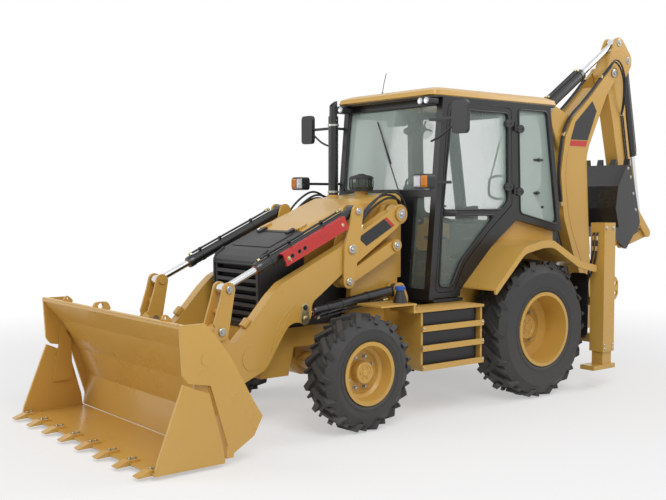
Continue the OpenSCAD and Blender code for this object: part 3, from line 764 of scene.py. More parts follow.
def add_gland(name: str, line: Along, radius: float, rod: float, tip: float, body: str) -> None:
    """Make the gland nut and wiper ring at the mouth of a cylinder.

    Args:
        name: The gland's name.
        line: The cylinder's line.
        radius: The barrel's radius.
        rod: The rod's radius.
        tip: How far along the barrel ends.
        body: The barrel's body.
    """
    mouth = line.place(tip, 0)
    nut = [(radius - 0.002, -0.060), (radius + 0.005, -0.058), (radius + 0.005, -0.012),
           (radius + 0.001, -0.006), (radius + 0.001, 0.002), (rod + 0.004, 0.004),
           (rod + 0.004, -0.004)]
    ring = [(rod + 0.009, 0.002), (rod + 0.009, 0.006), (rod + 0.005, 0.009), (rod + 0.002, 0.006),
            (rod + 0.002, 0.0)]
    Work().lathe(mouth, line.run, nut, 40).piece(name, body, CYLINDER)
    Work().lathe(mouth, line.run, ring, 36).piece(name + "_ring", body, COPPER)


@dataclass
class Paintwork:
    """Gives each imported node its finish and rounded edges."""

    nodes: dict[str, bpy.types.Object]
    edge: float = 0.004
    by_name: dict[str, Finish] = field(
        default_factory=lambda: {"leg_left": YELLOW, "leg_right": YELLOW})
    unrounded: tuple[str, ...] = ("tyre", "glass", "rods")

    def dress(self, record: dict) -> None:
        """Paint every node by the record's slots.

        Args:
            record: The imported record.
        """
        for part in record["subparts"]:
            name = part["node"]
            obj = self.nodes[name]
            obj.data.materials.clear()
            finish = self.by_name.get(name, BY_SLOT[part["material_slot"]])
            obj.data.materials.append(finish.build())
            if not any(word in name for word in self.unrounded):
                round_edges(obj, self.edge)
            LOG.info("painted %s", name)


@dataclass(frozen=True)
class Lamp:
    """One soft lamp: where it hangs, where it points, its width and its power in watts."""

    name: str
    place: Point
    aim: Point
    size: float
    power: float

    def hang(self) -> None:
        """Put the lamp in the scene."""
        data = bpy.data.lights.new(self.name, "AREA")
        data.energy = self.power
        data.size = self.size
        obj = bpy.data.objects.new(self.name, data)
        obj.location = at(*self.place)
        obj.rotation_euler = (at(*self.aim) - at(*self.place)).to_track_quat("-Z", "Y").to_euler()
        bpy.context.scene.collection.objects.link(obj)


@dataclass
class Studio:
    """Floor, lamps, world and camera."""

    eye: Point = (7.314, 6.965, 1.911)
    yaw: float = 231.29
    pitch: float = -3.08
    lens: float = 52.29
    floor_size: float = 60.0
    floor_color: Color = (0.82, 0.82, 0.82, 1)
    near_glow: float = 0.46
    glow_reach: tuple[float, float] = (3.0, 9.0)
    world_light: float = 0.42
    lamps: tuple[Lamp, ...] = (Lamp("key", (4.5, 6.5, 7.5), (1.0, 0.0, 0.8), 5.0, 400),
                               Lamp("fill", (8.5, -3.0, 5.0), (2.0, 0.0, 0.8), 5.0, 190),
                               Lamp("back", (-6.0, 3.0, 6.5), (-1.0, 0.0, 1.5), 4.0, 200))

    def build(self) -> None:
        """Set up the whole studio."""
        self._floor()
        self._world()
        for lamp in self.lamps:
            lamp.hang()
        self._camera()
        bpy.context.scene.view_settings.view_transform = "Standard"

    def _camera(self) -> None:
        """Place the camera at the photograph's angle."""
        data = bpy.data.cameras.new("camera")
        data.lens = self.lens
        data.sensor_width = 36.0
        data.sensor_fit = "HORIZONTAL"
        data.clip_end = 200.0
        obj = bpy.data.objects.new("camera", data)
        turn, dip = math.radians(self.yaw), math.radians(self.pitch)
        ahead = Vector((math.cos(dip) * math.cos(turn), math.cos(dip) * math.sin(turn),
                        math.sin(dip)))
        obj.rotation_euler = ahead.to_track_quat("-Z", "Y").to_euler()
        obj.location = at(*self.eye)
        bpy.context.scene.collection.objects.link(obj)
        bpy.context.scene.camera = obj

    def _floor(self) -> None:
        """Lay a plain pale floor that keeps the shadow."""
        mesh = bmesh.new()
        bmesh.ops.create_grid(mesh, x_segments=1, y_segments=1, size=self.floor_size / 2)
        data = bpy.data.meshes.new("floor")
        mesh.to_mesh(data)
        mesh.free()
        obj = bpy.data.objects.new("floor", data)
        bpy.context.scene.collection.objects.link(obj)
        mat = bpy.data.materials.new("pale_floor")
        mat.use_nodes = True
        tree = mat.node_tree
        shader = tree.nodes["Principled BSDF"]
        feed(tree, shader, {"Base Color": self.floor_color, "Roughness": 0.9,
                            "Specular IOR Level": 0.1})
        glow = add_node(tree, "Emission", {"Strength": 1.0})
        spot = tree.nodes.new("ShaderNodeNewGeometry")
        reach = add_node(tree, "VectorMath", {0: spot.outputs["Position"]}, "LENGTH")
        near, far = self.glow_reach
        fade = add_node(tree, "MapRange", {"Value": reach.outputs["Value"], "From Min": near,
                                           "From Max": far, "To Min": self.near_glow,
                                           "To Max": 1.0})
        fade.interpolation_type = "SMOOTHSTEP"
        share = product(tree, self._seen(tree), fade.outputs["Result"])
        mix = add_node(tree, "MixShader", {"Fac": share, 1: shader.outputs["BSDF"],
                                           2: glow.outputs["Emission"]})
        tree.links.new(mix.outputs["Shader"], tree.nodes["Material Output"].inputs["Surface"])
        data.materials.append(mat)

    @staticmethod
    def _seen(tree: bpy.types.NodeTree) -> bpy.types.NodeSocket:
        """Join camera, glossy and transmission rays into one mask.

        Args:
            tree: The tree to work in.

        Returns:
            A socket that is 1 on those rays.
        """
        path = tree.nodes.new("ShaderNodeLightPath")
        mask = path.outputs["Is Camera Ray"]
        for label in ("Is Glossy Ray", "Is Transmission Ray"):
            either = add_node(tree, "Math", {0: mask, 1: path.outputs[label]}, "MAXIMUM")
            mask = either.outputs["Value"]
        return mask

    def _world(self) -> None:
        """Light the studio evenly and show white behind the machine."""
        world = bpy.data.worlds.new("studio")
        bpy.context.scene.world = world
        world.use_nodes = True
        tree = world.node_tree
        level = ranged(tree, {"Value": self._seen(tree), "To Min": self.world_light, "To Max": 1.0})
        feed(tree, tree.nodes["Background"], {"Color": (1.0, 1.0, 1.0, 1), "Strength": level})


@dataclass(frozen=True)
class Axle:
    """Sizes of the two wheels of an axle; disc and hub are outward places from the middle."""

    end: str
    middle: Point
    steered: bool
    bolts: int
    ring: float
    disc: float
    hub: float
    hub_radius: float
    ribs: tuple[float, float]
    half: float


@dataclass
class WheelTrim:
    """Wheel bolts, hub covers, valve stems, sidewall ribs and road tread."""

    axles: tuple[Axle, ...] = (
        Axle("front", (2.210, 0.935, 0.485), True, bolts=8, ring=0.135, disc=0.006, hub=0.075,
             hub_radius=0.090, ribs=(0.306, 0.352), half=0.155),
        Axle("rear", (0.0, 0.865, 0.660), False, bolts=10, ring=0.163, disc=-0.074, hub=-0.020,
             hub_radius=0.120, ribs=(0.405, 0.515), half=0.210))
    cover: Outline = ((0.99, -0.004), (0.99, 0.004), (0.93, 0.010), (0.74, 0.010), (0.70, 0.005),
                      (0.34, 0.005), (0.30, 0.012), (0.22, 0.014), (0, 0.014))
    cover_bolts: float = 0.53
    lugs: int = 14
    lug_angle: float = 40.0

    def build(self) -> None:
        """Trim all four wheels."""
        for side in SIDES:
            for axle in self.axles:
                self._wheel(axle, side)
                self._tyre(axle, side)

    def _wheel(self, axle: Axle, side: Side) -> None:
        """Bolts, hub cover and valve of one wheel.

        Args:
            axle: The wheel's axle.
            side: The wheel's side.
        """
        x, y, z = axle.middle
        name, wheel = f"{axle.end}_{side.word}", f"{axle.end}_wheel_{side.word}"
        work = Work()
        for a in turns(axle.bolts, 0.5):
            spot = side.at(x + axle.ring * math.cos(a), y + axle.disc, z + axle.ring * math.sin(a))
            work.bolt(spot, side.out, 0.0135, 0.024)
        work.piece(name + "_wheel_bolts", wheel, STEEL)
        face, ring = side.at(x, y + axle.hub, z), axle.hub_radius * self.cover_bolts
        work = Work().lathe(face, side.out, [(axle.hub_radius * r, h) for r, h in self.cover], 48)
        for a in turns(6):
            work.bolt(face + Vector((ring * math.cos(a), side.sign * 0.005, ring * math.sin(a))),
                      side.out, 0.007, 0.009)
        carrier = "knuckle_" + side.word if axle.steered else "chassis"
        work.piece(name + "_hub_cover", carrier, RIM_YELLOW)
        foot = side.at(x + (axle.ring + 0.045), y + axle.disc + 0.004, z)
        tip = foot + Vector((0.012, side.sign * 0.05, 0.0))
        work = Work().sweep([foot, foot.lerp(tip, 0.5), tip], 0.005)
        work.lathe(tip, tip - foot, [(0, -0.004), (0.0075, -0.004), (0.0075, 0.010), (0.005, 0.014),
                                     (0, 0.014)], 12)
        work.piece(name + "_valve", wheel, PLASTIC)

    def _tyre(self, axle: Axle, side: Side) -> None:
        """Ribs on both sidewalls, and short bars between the big lugs at both shoulders.

        Args:
            axle: The wheel's axle.
            side: The wheel's side.
        """
        x, y, z = axle.middle
        name, wheel = f"{axle.end}_{side.word}", f"{axle.end}_wheel_{side.word}"
        work = Work()
        for way in (1, -1):
            wall = side.at(x, y + way * (axle.half - 0.006), z)
            for r in axle.ribs:
                work.lathe(wall, side.out * way, [(r - 0.006, -0.004), (r - 0.003, 0.005),
                                                  (r + 0.003, 0.005), (r + 0.006, -0.004)], 72)
        work.piece(name + "_sidewall_ribs", wheel, RUBBER, 50)
        work = Work()
        middle = Matrix.Translation(side.at(x, y, z))
        size = Matrix.Diagonal((z * 0.045, axle.half * 0.52, 0.034, 1.0))
        for k in range(self.lugs):
            for way, first in ((1, 0.5), (-1, 0.0)):
                turn = Matrix.Rotation(2 * math.pi * (k + first) / self.lugs, 4, "Y")
                spot = Matrix.Translation((0.36 * axle.half, way * 0.62 * axle.half, z - 0.036))
                slant = Matrix.Rotation(math.radians(-self.lug_angle * way), 4, "Z")
                place = middle @ turn @ spot @ slant @ size
                bmesh.ops.create_cube(work.mesh, size=1.0, matrix=place)
        work.piece(name + "_road_tread", wheel, RUBBER, bevel=0.004)


@dataclass
class CabTrim:
    """Seals, hinges, handles, wipers, lenses, mirror faces and the aerial of the cab."""

    face: float = 0.700
    upper: Outline = ((1.010, 1.800), (0.902, 2.726), (0.132, 2.726), (0.114, 1.880),
                      (0.210, 1.800))
    lower: Outline = ((1.052, 1.096), (1.014, 1.750), (0.296, 1.750), (0.432, 1.628),
                      (0.762, 1.330), (0.892, 1.096))
    quarter: Outline = ((-0.020, 2.772), (-0.452, 2.772), (-0.634, 1.640), (-0.060, 1.762))
    mirror: Outline = ((1.012, 2.482), (1.168, 2.482), (1.168, 2.748), (1.012, 2.748))
    roof: Outline = ((-0.612, -0.690), (1.108, -0.690), (1.108, 0.690), (-0.612, 0.690))
    hinges: tuple[float, float] = (1.950, 2.560)

    def build(self) -> None:
        """Make all the cab's trim."""
        for side in SIDES:
            self._seals(side)
            self._door(side)
            self._quarter(side)
            self._lamps(side)
            self._mirror(side)
        self._screens()
        self._roof()

    def front(self, z: float, inside: float) -> float:
        """The x of the sloping front wall at a height, some way inside its face."""
        return 1.180 - (z - 0.985) * 0.08997 - inside

    def rear(self, z: float, inside: float) -> float:
        """The x of the sloping rear wall at a height, some way inside its face."""
        return -0.690 + (z - 1.660) * 0.1581 + inside

    def _seals(self, side: Side) -> None:
        """Rubber seals around the side windows.

        Args:
            side: Which side.
        """
        door = "door_" + side.word
        for label, outline, body in (("upper", self.upper, door), ("lower", self.lower, door),
                                     ("quarter", self.quarter, "chassis")):
            route = [side.at(x, self.face + 0.001, z) for x, z in soften(outline, 0.045)]
            work = Work().sweep(route, 0.009, 8, closed=True)
            work.piece(f"{label}_seal_{side.word}", body, HOSE, ROUND)

    def _door(self, side: Side) -> None:
        """Hinge covers, the outside handle and the inside bar of a door.

        Args:
            side: Which side.
        """
        sign, body, skin = side.sign, "door_" + side.word, self.face + 0.0165
        for k, z in enumerate(self.hinges):
            for label, low, high, rise, carrier in (("door", 0.066, 0.190, 0.068, body),
                                                    ("post", -0.096, 0.014, 0.0225, "chassis")):
                mid, half = (low + high) / 2, (high - low) / 2
                shape = oval(mid, z + rise, half, 0.040, 28)
                work = Work().plate(shape, sign * (self.face + 0.0005), sign * skin)
                for dx in (-0.55, 0.55):
                    work.bolt(side.at(mid + dx * half, skin, z + rise), side.out, 0.008, 0.007)
                work.piece(f"hinge_{label}_{side.word}_{k}", carrier, PLASTIC, bevel=0.004)
        out = self.face + 0.001
        shape = soften(((0.845, 1.755), (1.005, 1.755), (1.000, 1.798), (0.840, 1.798)), 0.012)
        work = Work().plate(shape, sign * out, sign * (out + 0.012))
        grip = ((0.862, 0.008), (0.880, 0.036), (0.965, 0.036), (0.985, 0.008))
        work.bend([side.at(x, out + dy, 1.777) for x, dy in grip], 0.009)
        work.piece("door_handle_" + side.word, body, PLASTIC, bevel=0.002)
        inner = self.face - 0.062
        bar = ((0.100, 0.0, 2.120), (0.150, 0.040, 2.125), (0.250, 0.048, 2.100),
               (0.268, 0.050, 2.030), (0.262, 0.048, 1.940), (0.180, 0.042, 1.905),
               (0.105, 0.0, 1.905))
        work = Work().bend([side.at(x, inner - dy, z) for x, dy, z in bar], 0.012, 8)
        work.piece("grab_bar_" + side.word, body, PLASTIC, ROUND)

    def _quarter(self, side: Side) -> None:
        """Latches and stay of the rear side window.

        Args:
            side: Which side.
        """
        work, skin = Work(), self.face - 0.024
        for x, z, wide in ((-0.350, 2.290, 0.075), (-0.330, 1.960, 0.045)):
            work.plate(oval(x, z, wide, 0.014, 20), side.sign * skin, side.sign * (skin + 0.014))
            work.lathe(side.at(x, skin + 0.010, z), side.out,
                       [(0, 0), (0.018, 0), (0.016, 0.012), (0, 0.014)], 20)
        work.lathe(side.at(-0.420, skin, 1.820), side.out,
                   [(0, 0), (0.014, 0), (0.014, 0.014), (0, 0.016)], 18)
        work.piece("quarter_latches_" + side.word, "chassis", PLASTIC, bevel=0.002)

    def _lamps(self, side: Side) -> None:
        """Lenses and reflectors of the roof lamps and of the road lamp.

        Args:
            side: Which side.
        """
        glow, lens = Work(), Work()
        for y in (0.572, 0.652):
            spot = side.at(1.175, y, 2.789)
            glow.lathe(spot, AHEAD, [(0, 0.001), (0.010, 0.001), (0.026, 0.007), (0.029, 0.007),
                                     (0.029, -0.002)], 28)
            lens.lathe(spot, AHEAD, [(0.030, -0.001), (0.030, 0.008), (0.024, 0.013),
                                     (0.010, 0.015), (0, 0.0155)], 28)
        glow.piece("roof_reflectors_" + side.word, "chassis", WHITE)
        lens.piece("roof_lenses_" + side.word, "chassis", LENS, ROUND)
        for label, low, high, finish in (("clear", 0.812, 0.896, LENS),
                                         ("amber", 0.906, 0.980, AMBER)):
            work = self._road_lens(side, low, high)
            work.piece(f"road_lens_{label}_{side.word}", "chassis", finish, 80)
        work = Work().box((1.476, 0.815, 2.008), (1.484, 0.893, 2.102), sign=side.sign)
        for k in range(3):
            work.lathe(side.at(1.483, 0.834 + 0.020 * k, 2.055), AHEAD,
                       [(0.003, 0.001), (0.008, 0.003), (0.0095, 0.006), (0.0095, -0.002)], 16)
        work.piece("road_reflector_" + side.word, "chassis", WHITE, bevel=0.002)

    @staticmethod
    def _road_lens(side: Side, low: float, high: float, rows: int = 10, cols: int = 14) -> Work:
        """One domed and ribbed lens of a road lamp.

        Args:
            side: Which side.
            low: Where it starts, outward from the middle.
            high: Where it ends.
            rows: Faces up the lens.
            cols: Faces across it.

        Returns:
            The lens.
        """
        work, grid = Work(), []
        for v in (r / rows for r in range(rows + 1)):
            line = []
            for u in (c / cols for c in range(cols + 1)):
                rise = min(1.0, 6 * min(u, 1 - u, v, 1 - v)) ** 0.5
                rib = 0.0022 * math.cos(2 * math.pi * u * (cols / 2)) * (rise > 0.9)
                x, y, z = 1.481 + 0.014 * rise + rib, low + u * (high - low), 2.004 + v * 0.102
                line.append(work.mesh.verts.new(side.at(x, y, z)))
            grid.append(line)
        for under, over in zip(grid, grid[1:]):
            for c in range(cols):
                work.mesh.faces.new([under[c], under[c + 1], over[c + 1], over[c]])
        return work

    def _mirror(self, side: Side) -> None:
        """Glass, rim and stay of an outside mirror.

        Args:
            side: Which side.
        """
        shape = soften(self.mirror, 0.034)
        work = Work().shell(*([side.at(x, y, z) for y, z in shape] for x in (1.1685, 1.172)))
        work.piece("mirror_glass_" + side.word, "chassis", MIRROR)
        work = Work().sweep([side.at(1.169, y, z) for y, z in shape], 0.0045, 8, closed=True)
        work.piece("mirror_rim_" + side.word, "chassis", PLASTIC, ROUND)
        stay = ((1.165, 0.705, 2.420), (1.180, 0.860, 2.470), (1.182, 1.010, 2.560))
        work = Work().bend([side.at(*p) for p in stay], 0.010, 8)
        work.piece("mirror_stay_" + side.word, "chassis", PLASTIC, ROUND)

    def _screens(self) -> None:
        """Seals and wipers of the front and rear windows."""
        front, rear = (0.630, 1.980, 2.765), (0.590, 1.660, 2.765)
        self._screen("front", self.front, front, AHEAD, (0.20, 1.960), (-0.10, 2.480), 0.002)
        self._screen("rear", self.rear, rear, -AHEAD, (0.10, 2.735), (-0.12, 2.245), 0.0)

    @staticmethod
    def _screen(label: str, wall: Callable[[float, float], float], size: Point, out: Vector,
                foot: Place, tip: Place, inside: float) -> None:
        """The seal and the wiper of one window.

        Args:
            label: The window's name.
            wall: Gives the wall's x at a height and some way inside.
            size: Half the window's width, its lower edge and its upper edge.
            out: The way it looks.
            foot: The y and z of the wiper's foot.
            tip: The y and z of the middle of its blade.
            inside: How far inside the wall's face the arm starts.
        """
        half, low, high = size
        shape = soften(((-half, low), (half, low), (half, high), (-half, high)), 0.05)
        work = Work().sweep([at(wall(z, 0.018), y, z) for y, z in shape], 0.011, 8, closed=True)
        work.piece(label + "_screen_seal", "chassis", HOSE, ROUND)
        work = Work().lathe(at(wall(foot[1], 0.016), *foot), out,
                            [(0, 0), (0.022, 0), (0.020, 0.024), (0, 0.028)], 20)
        mid = ((foot[0] + tip[0]) / 2, (foot[1] + tip[1]) / 2)
        work.bend([at(wall(spot[1], depth), *spot) for spot, depth in ((foot, inside), (mid, 0.004),
                                                                       (tip, 0.014))], 0.006)
        run = Vector((tip[0] - foot[0], tip[1] - foot[1])).normalized()
        blade = [(tip[0] + run.x * s, tip[1] + run.y * s) for s in (-0.28, -0.14, 0.0, 0.10, 0.20)]
        work.sweep([at(wall(z, 0.018), y, z) for y, z in blade], 0.007, 6)
        work.piece(label + "_wiper", "chassis", PLASTIC, ROUND)

    def _roof(self) -> None:
        """The aerial and the roof's drip edge."""
        foot = at(0.860, -0.300, 2.912)
        work = Work().lathe(foot, UP, [(0, -0.01), (0.030, -0.01), (0.028, 0.012), (0.012, 0.020),
                                       (0.007, 0.050), (0, 0.050)], 24)
        whip = ((0, 0.045), (-0.020, 0.14), (-0.050, 0.24))
        work.sweep([foot + Vector((dx, 0, dz)) for dx, dz in whip], 0.0035)
        work.piece("roof_aerial", "chassis", PLASTIC, 50)
        route = [at(x, y, 2.832) for x, y in soften(self.roof, 0.07)]
        work = Work().sweep(route, 0.010, 8, closed=True)
        work.piece("roof_seal", "chassis", PLASTIC, ROUND)


@dataclass
class Interior:
    """The padded seat, levers, fan and inside mirror."""

    cushion: tuple[Point, Point] = ((0.020, -0.232, 1.165), (0.500, 0.232, 1.250))
    back: Outline = ((-0.040, 1.270), (0.048, 1.270), (0.000, 1.660), (-0.072, 1.660))
    head_pad: Outline = ((-0.070, 1.684), (-0.006, 1.684), (-0.018, 1.830), (-0.080, 1.830))
    levers: tuple[Point, ...] = (
        (0.420, -0.480, 0.22), (0.320, -0.480, 0.20), (0.220, -0.480, 0.20),
        (-0.300, 0.300, 0.30), (-0.300, -0.300, 0.30))
    fan: Point = (0.900, 0.330, 2.560)
    voxel: float = 0.009
    cap: float = 0.024
    channel: float = 0.011

    def build(self) -> None:
        """Make the seat and the fittings around it."""
        self._seat()
        self._levers()
        self._fan()
        self._dash()

    def _seat(self) -> None:
        """Pedestal, cushion, back and head pad in place of the plain seat."""
        work = Work().box((0.070, -0.160, 0.936), (0.410, 0.160, 0.970))
        for k in range(5):
            inset, low = 0.012 * (k % 2), 0.970 + 0.030 * k
            work.box((0.085 + inset, -0.145 + inset, low),
                     (0.395 - inset, 0.145 - inset, 1.000 + 0.030 * k))
        work.box((0.030, -0.225, 1.120), (0.490, 0.225, 1.156))
        stand = work.piece("seat_pedestal", "chassis", PLASTIC, bevel=0.006)
        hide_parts("seat")
        self._pad("seat_cushion", Work().box(*self.cushion), UP, (0.105, -0.105))
        self._pad("seat_back", Work().plate(self.back, -0.222, 0.222), AHEAD, (0.100, -0.100))
        self._pad("seat_head_pad", Work().plate(self.head_pad, -0.140, 0.140), AHEAD, ())
        work = Work()
        for y in (-0.262, 0.262):
            work.bend([at(x, y, z) for x, z in ((-0.040, 1.300), (-0.020, 1.470), (0.060, 1.500),
                                                (0.300, 1.500))], 0.020)
        work.piece("seat_arm_rests", "chassis", PLASTIC, ROUND)

    def _pad(self, name: str, work: Work, front: Vector, channels: tuple[float, ...]) -> None:
        """Swell a shape into a pad and press its sewn channels in.

        Args:
            name: The pad's name.
            work: A closed shape slightly smaller than the pad.
            front: The way its padded face looks.
            channels: The y of each sewn channel.
        """
        obj = work.to_object(name)
        remesh = obj.modifiers.new("voxels", "REMESH")
        remesh.mode = "VOXEL"
        remesh.voxel_size = self.voxel
        self._settle(obj)
        start = [v.co.copy() for v in obj.data.vertices]
        self._swell(obj)
        for vert, old in zip(obj.data.vertices, start):
            step = vert.co - old
            if step.length > self.cap:
                vert.co = old + step * (self.cap / step.length)
            if vert.normal.dot(front) > 0.2:
                for y in channels:
                    vert.co -= front * self.channel * math.exp(-((old.y - y) / self.channel) ** 2)
        fine = obj.modifiers.new("fine", "SUBSURF")
        fine.levels = fine.render_levels = 1
        obj.data.materials.append(FABRIC.build())
        obj.data.shade_smooth()
        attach(obj, "chassis")
        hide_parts("seat")
        LOG.info("padded %s", name)

    @staticmethod
    def _settle(obj: bpy.types.Object) -> None:
        """Keep what an object's modifiers give as its mesh.

        Args:
            obj: The object.
        """
        graph = bpy.context.evaluated_depsgraph_get()
        data = bpy.data.meshes.new_from_object(obj.evaluated_get(graph))
        obj.modifiers.clear()
        obj.data = data

    def _swell(self, obj: bpy.types.Object) -> None:
        """Blow a shape up a little as cloth, and keep the result.

        Args:
            obj: The object.
        """
        settings = obj.modifiers.new("cloth", "CLOTH").settings
        settings.quality = 4
        settings.mass = 0.3
        settings.use_pressure = True
        settings.uniform_pressure_force = 4.0
        settings.effector_weights.gravity = 0.0
        scene = bpy.context.scene
        for frame in range(1, 21):
            scene.frame_set(frame)
        self._settle(obj)
        scene.frame_set(1)

    def _levers(self) -> None:
        """Hand levers with knobs on both sides of the seat and pedals at the column."""
        work, knobs = Work(), Work()
        for x, y, tall in self.levers:
            foot = at(x, y, 1.345 if y < -0.4 else 1.300)
            tip = foot + Vector((0.05 if x > 0 else -0.04, 0, tall))
            work.bend([foot, foot.lerp(tip, 0.5) + Vector((0.012, 0, 0)), tip], 0.008)
            work.lathe(foot - Vector((0, 0, 0.006)), UP,
                       [(0, 0), (0.040, 0), (0.030, 0.022), (0.012, 0.05), (0, 0.05)], 20)
            knobs.lathe(tip, tip - foot, [(0, -0.03), (0.016, -0.026), (0.024, 0), (0.020, 0.022),
                                          (0, 0.030)], 20)
        for y in (-0.300, 0.300):
            work.box((-0.400, y - 0.080, 0.935), (-0.220, y + 0.080, 1.300))
        tread = Matrix.Rotation(-0.5, 4, "Y")
        for y in (-0.120, 0.000, 0.120):
            work.box((0.840, y - 0.035, 1.030), (0.860, y + 0.035, 1.120), tread)
            work.sweep([at(0.855, y, 1.070), at(0.975, y, 1.020)], 0.010)
        work.piece("hand_levers", "chassis", PLASTIC, bevel=0.003)
        knobs.piece("lever_knobs", "chassis", HOSE, ROUND)

    def _fan(self) -> None:
        """The small caged fan."""
        middle, axis = at(*self.fan), Vector((-0.85, -0.45, -0.1)).normalized()
        place = Matrix.Translation(middle) @ facing(axis)
        work = Work()
        for k in range(7):
            r, rise = 0.018 + 0.0125 * k, 0.034 - 0.0055 * k
            ring = [place @ Vector((r * math.cos(a), r * math.sin(a), rise)) for a in turns(28)]
            work.sweep(ring, 0.0018, 6, closed=True)
        for a in turns(4):
            work.sweep([place @ Vector((r * math.cos(a + 3 * r), r * math.sin(a + 3 * r), 0.004))
                        for r in (0.012, 0.035, 0.060, 0.082)], 0.009, 6)
        work.lathe(middle, axis, [(0, -0.060), (0.030, -0.056), (0.034, -0.010), (0.020, 0.020),
                                  (0, 0.022)], 24)
        work.sweep([middle - axis * 0.04, middle - axis * 0.02 + Vector((0.03, 0.02, 0.09)),
                    at(0.960, 0.360, 2.760)], 0.008)
        work.piece("cab_fan", "chassis", PLASTIC, ROUND)

    def _dash(self) -> None:
        """The inside mirror and the gauge hood."""
        shape = soften(((0.930, 2.600), (0.955, 2.600), (0.955, 2.690), (0.930, 2.690)), 0.008)
        work = Work().plate(shape, -0.130, 0.130)
        work.sweep([at(0.945, 0.0, 2.640), at(0.975, 0.0, 2.700), at(0.968, 0.0, 2.780)], 0.007)
        work.piece("inside_mirror", "chassis", PLASTIC, bevel=0.006)
        shape = soften(((0.880, 1.500), (1.040, 1.500), (1.050, 1.690), (0.990, 1.720),
                        (0.880, 1.560)), 0.03)
        Work().plate(shape, -0.160, 0.160).piece("gauge_hood", "chassis", PLASTIC, bevel=0.012)


@dataclass
class HoodTrim:
    """Air cleaner bowl, front cover panel, grille rim and exhaust clamps."""

    cleaner: Place = (1.390, 0.0)
    exhaust: Place = (1.480, -0.310)
    clamps: Outline = ((1.958, 0.0495), (2.594, 0.0495), (2.640, 0.0395))
    slope: tuple[Place, Place] = ((2.345, 1.625), (2.700, 1.470))

    def build(self) -> None:
        """Make the hood's trim."""
        self._cleaner()
        self._cover()
        self._grille()
        x, y = self.exhaust
        work = Work()
        for z, r in self.clamps:
            work.lathe(at(x, y, z), UP, [(r, 0), (r + 0.005, 0.003), (r + 0.005, 0.021),
                                         (r, 0.024)], 40)
            work.bolt(at(x, y + r + 0.004, z + 0.012), SIDES[0].out, 0.006, 0.012)
        work.piece("exhaust_clamps", "hood", STEEL)

    def _cleaner(self) -> None:
        """The dark bowl with ribs, and its lid."""
        x, y = self.cleaner
        foot = at(x, y, 0)
        bowl = [(0.100, 1.986), (0.1075, 1.994), (0.112, 2.020), (0.112, 2.070), (0.108, 2.090)]
        base = [(0.070, 1.972), (0.113, 1.976), (0.114, 1.990), (0.104, 1.996)]
        lid = [(0.104, 2.084), (0.116, 2.088), (0.116, 2.102), (0.100, 2.116), (0.040, 2.130),
               (0.030, 2.138), (0, 2.138)]
        rib = ((0.108, 1.990), (0.1135, 2.020), (0.1135, 2.070), (0.109, 2.090))
        Work().lathe(foot, UP, bowl, 48).piece("cleaner_bowl", "hood", BOWL, ROUND)
        work = Work().lathe(foot, UP, base, 48).lathe(foot, UP, lid, 48)
        for a in turns(10):
            work.sweep([at(x + r * math.cos(a), y + r * math.sin(a), z) for r, z in rib], 0.0035, 6)
        work.piece("cleaner_lid_and_ribs", "hood", PLASTIC, 40)

    def _cover(self) -> None:
        """The blank black cover on the nose's slope."""
        top, end = Vector(self.slope[0]), Vector(self.slope[1])
        run = (end - top).normalized()
        rise = Vector((-run.y, run.x))
        work = Work()
        for low, high, half, thick in ((0.060, 0.330, 0.285, 0.007), (0.020, 0.038, 0.250, 0.006)):
            p, q = top + run * low, top + run * high
            work.plate([p, q, q + rise * thick, p + rise * thick], -half, half)
        work.piece("nose_cover", "chassis", PLASTIC, bevel=0.005)

    @staticmethod
    def _grille() -> None:
        """The grille's rim and slats."""
        work = Work()
        edge = ((2.796, 0.850), (2.804, 1.360), (2.786, 1.418), (2.702, 1.476))
        for side in SIDES:
            work.sweep([side.at(x, 0.340, z) for x, z in edge], 0.010, 8)
        for z in (0.862, 1.352):
            work.sweep([at(2.797 + 0.01 * (z - 0.8), y, z) for y in (-0.335, 0.335)], 0.008, 8)
        for z in (0.885 + 0.07 * k for k in range(7)):
            work.box((2.748, -0.296, z), (2.752, 0.296, z + 0.030), Matrix.Rotation(0.5, 4, "Y"))
        work.piece("grille_rim", "chassis", PLASTIC, 50)


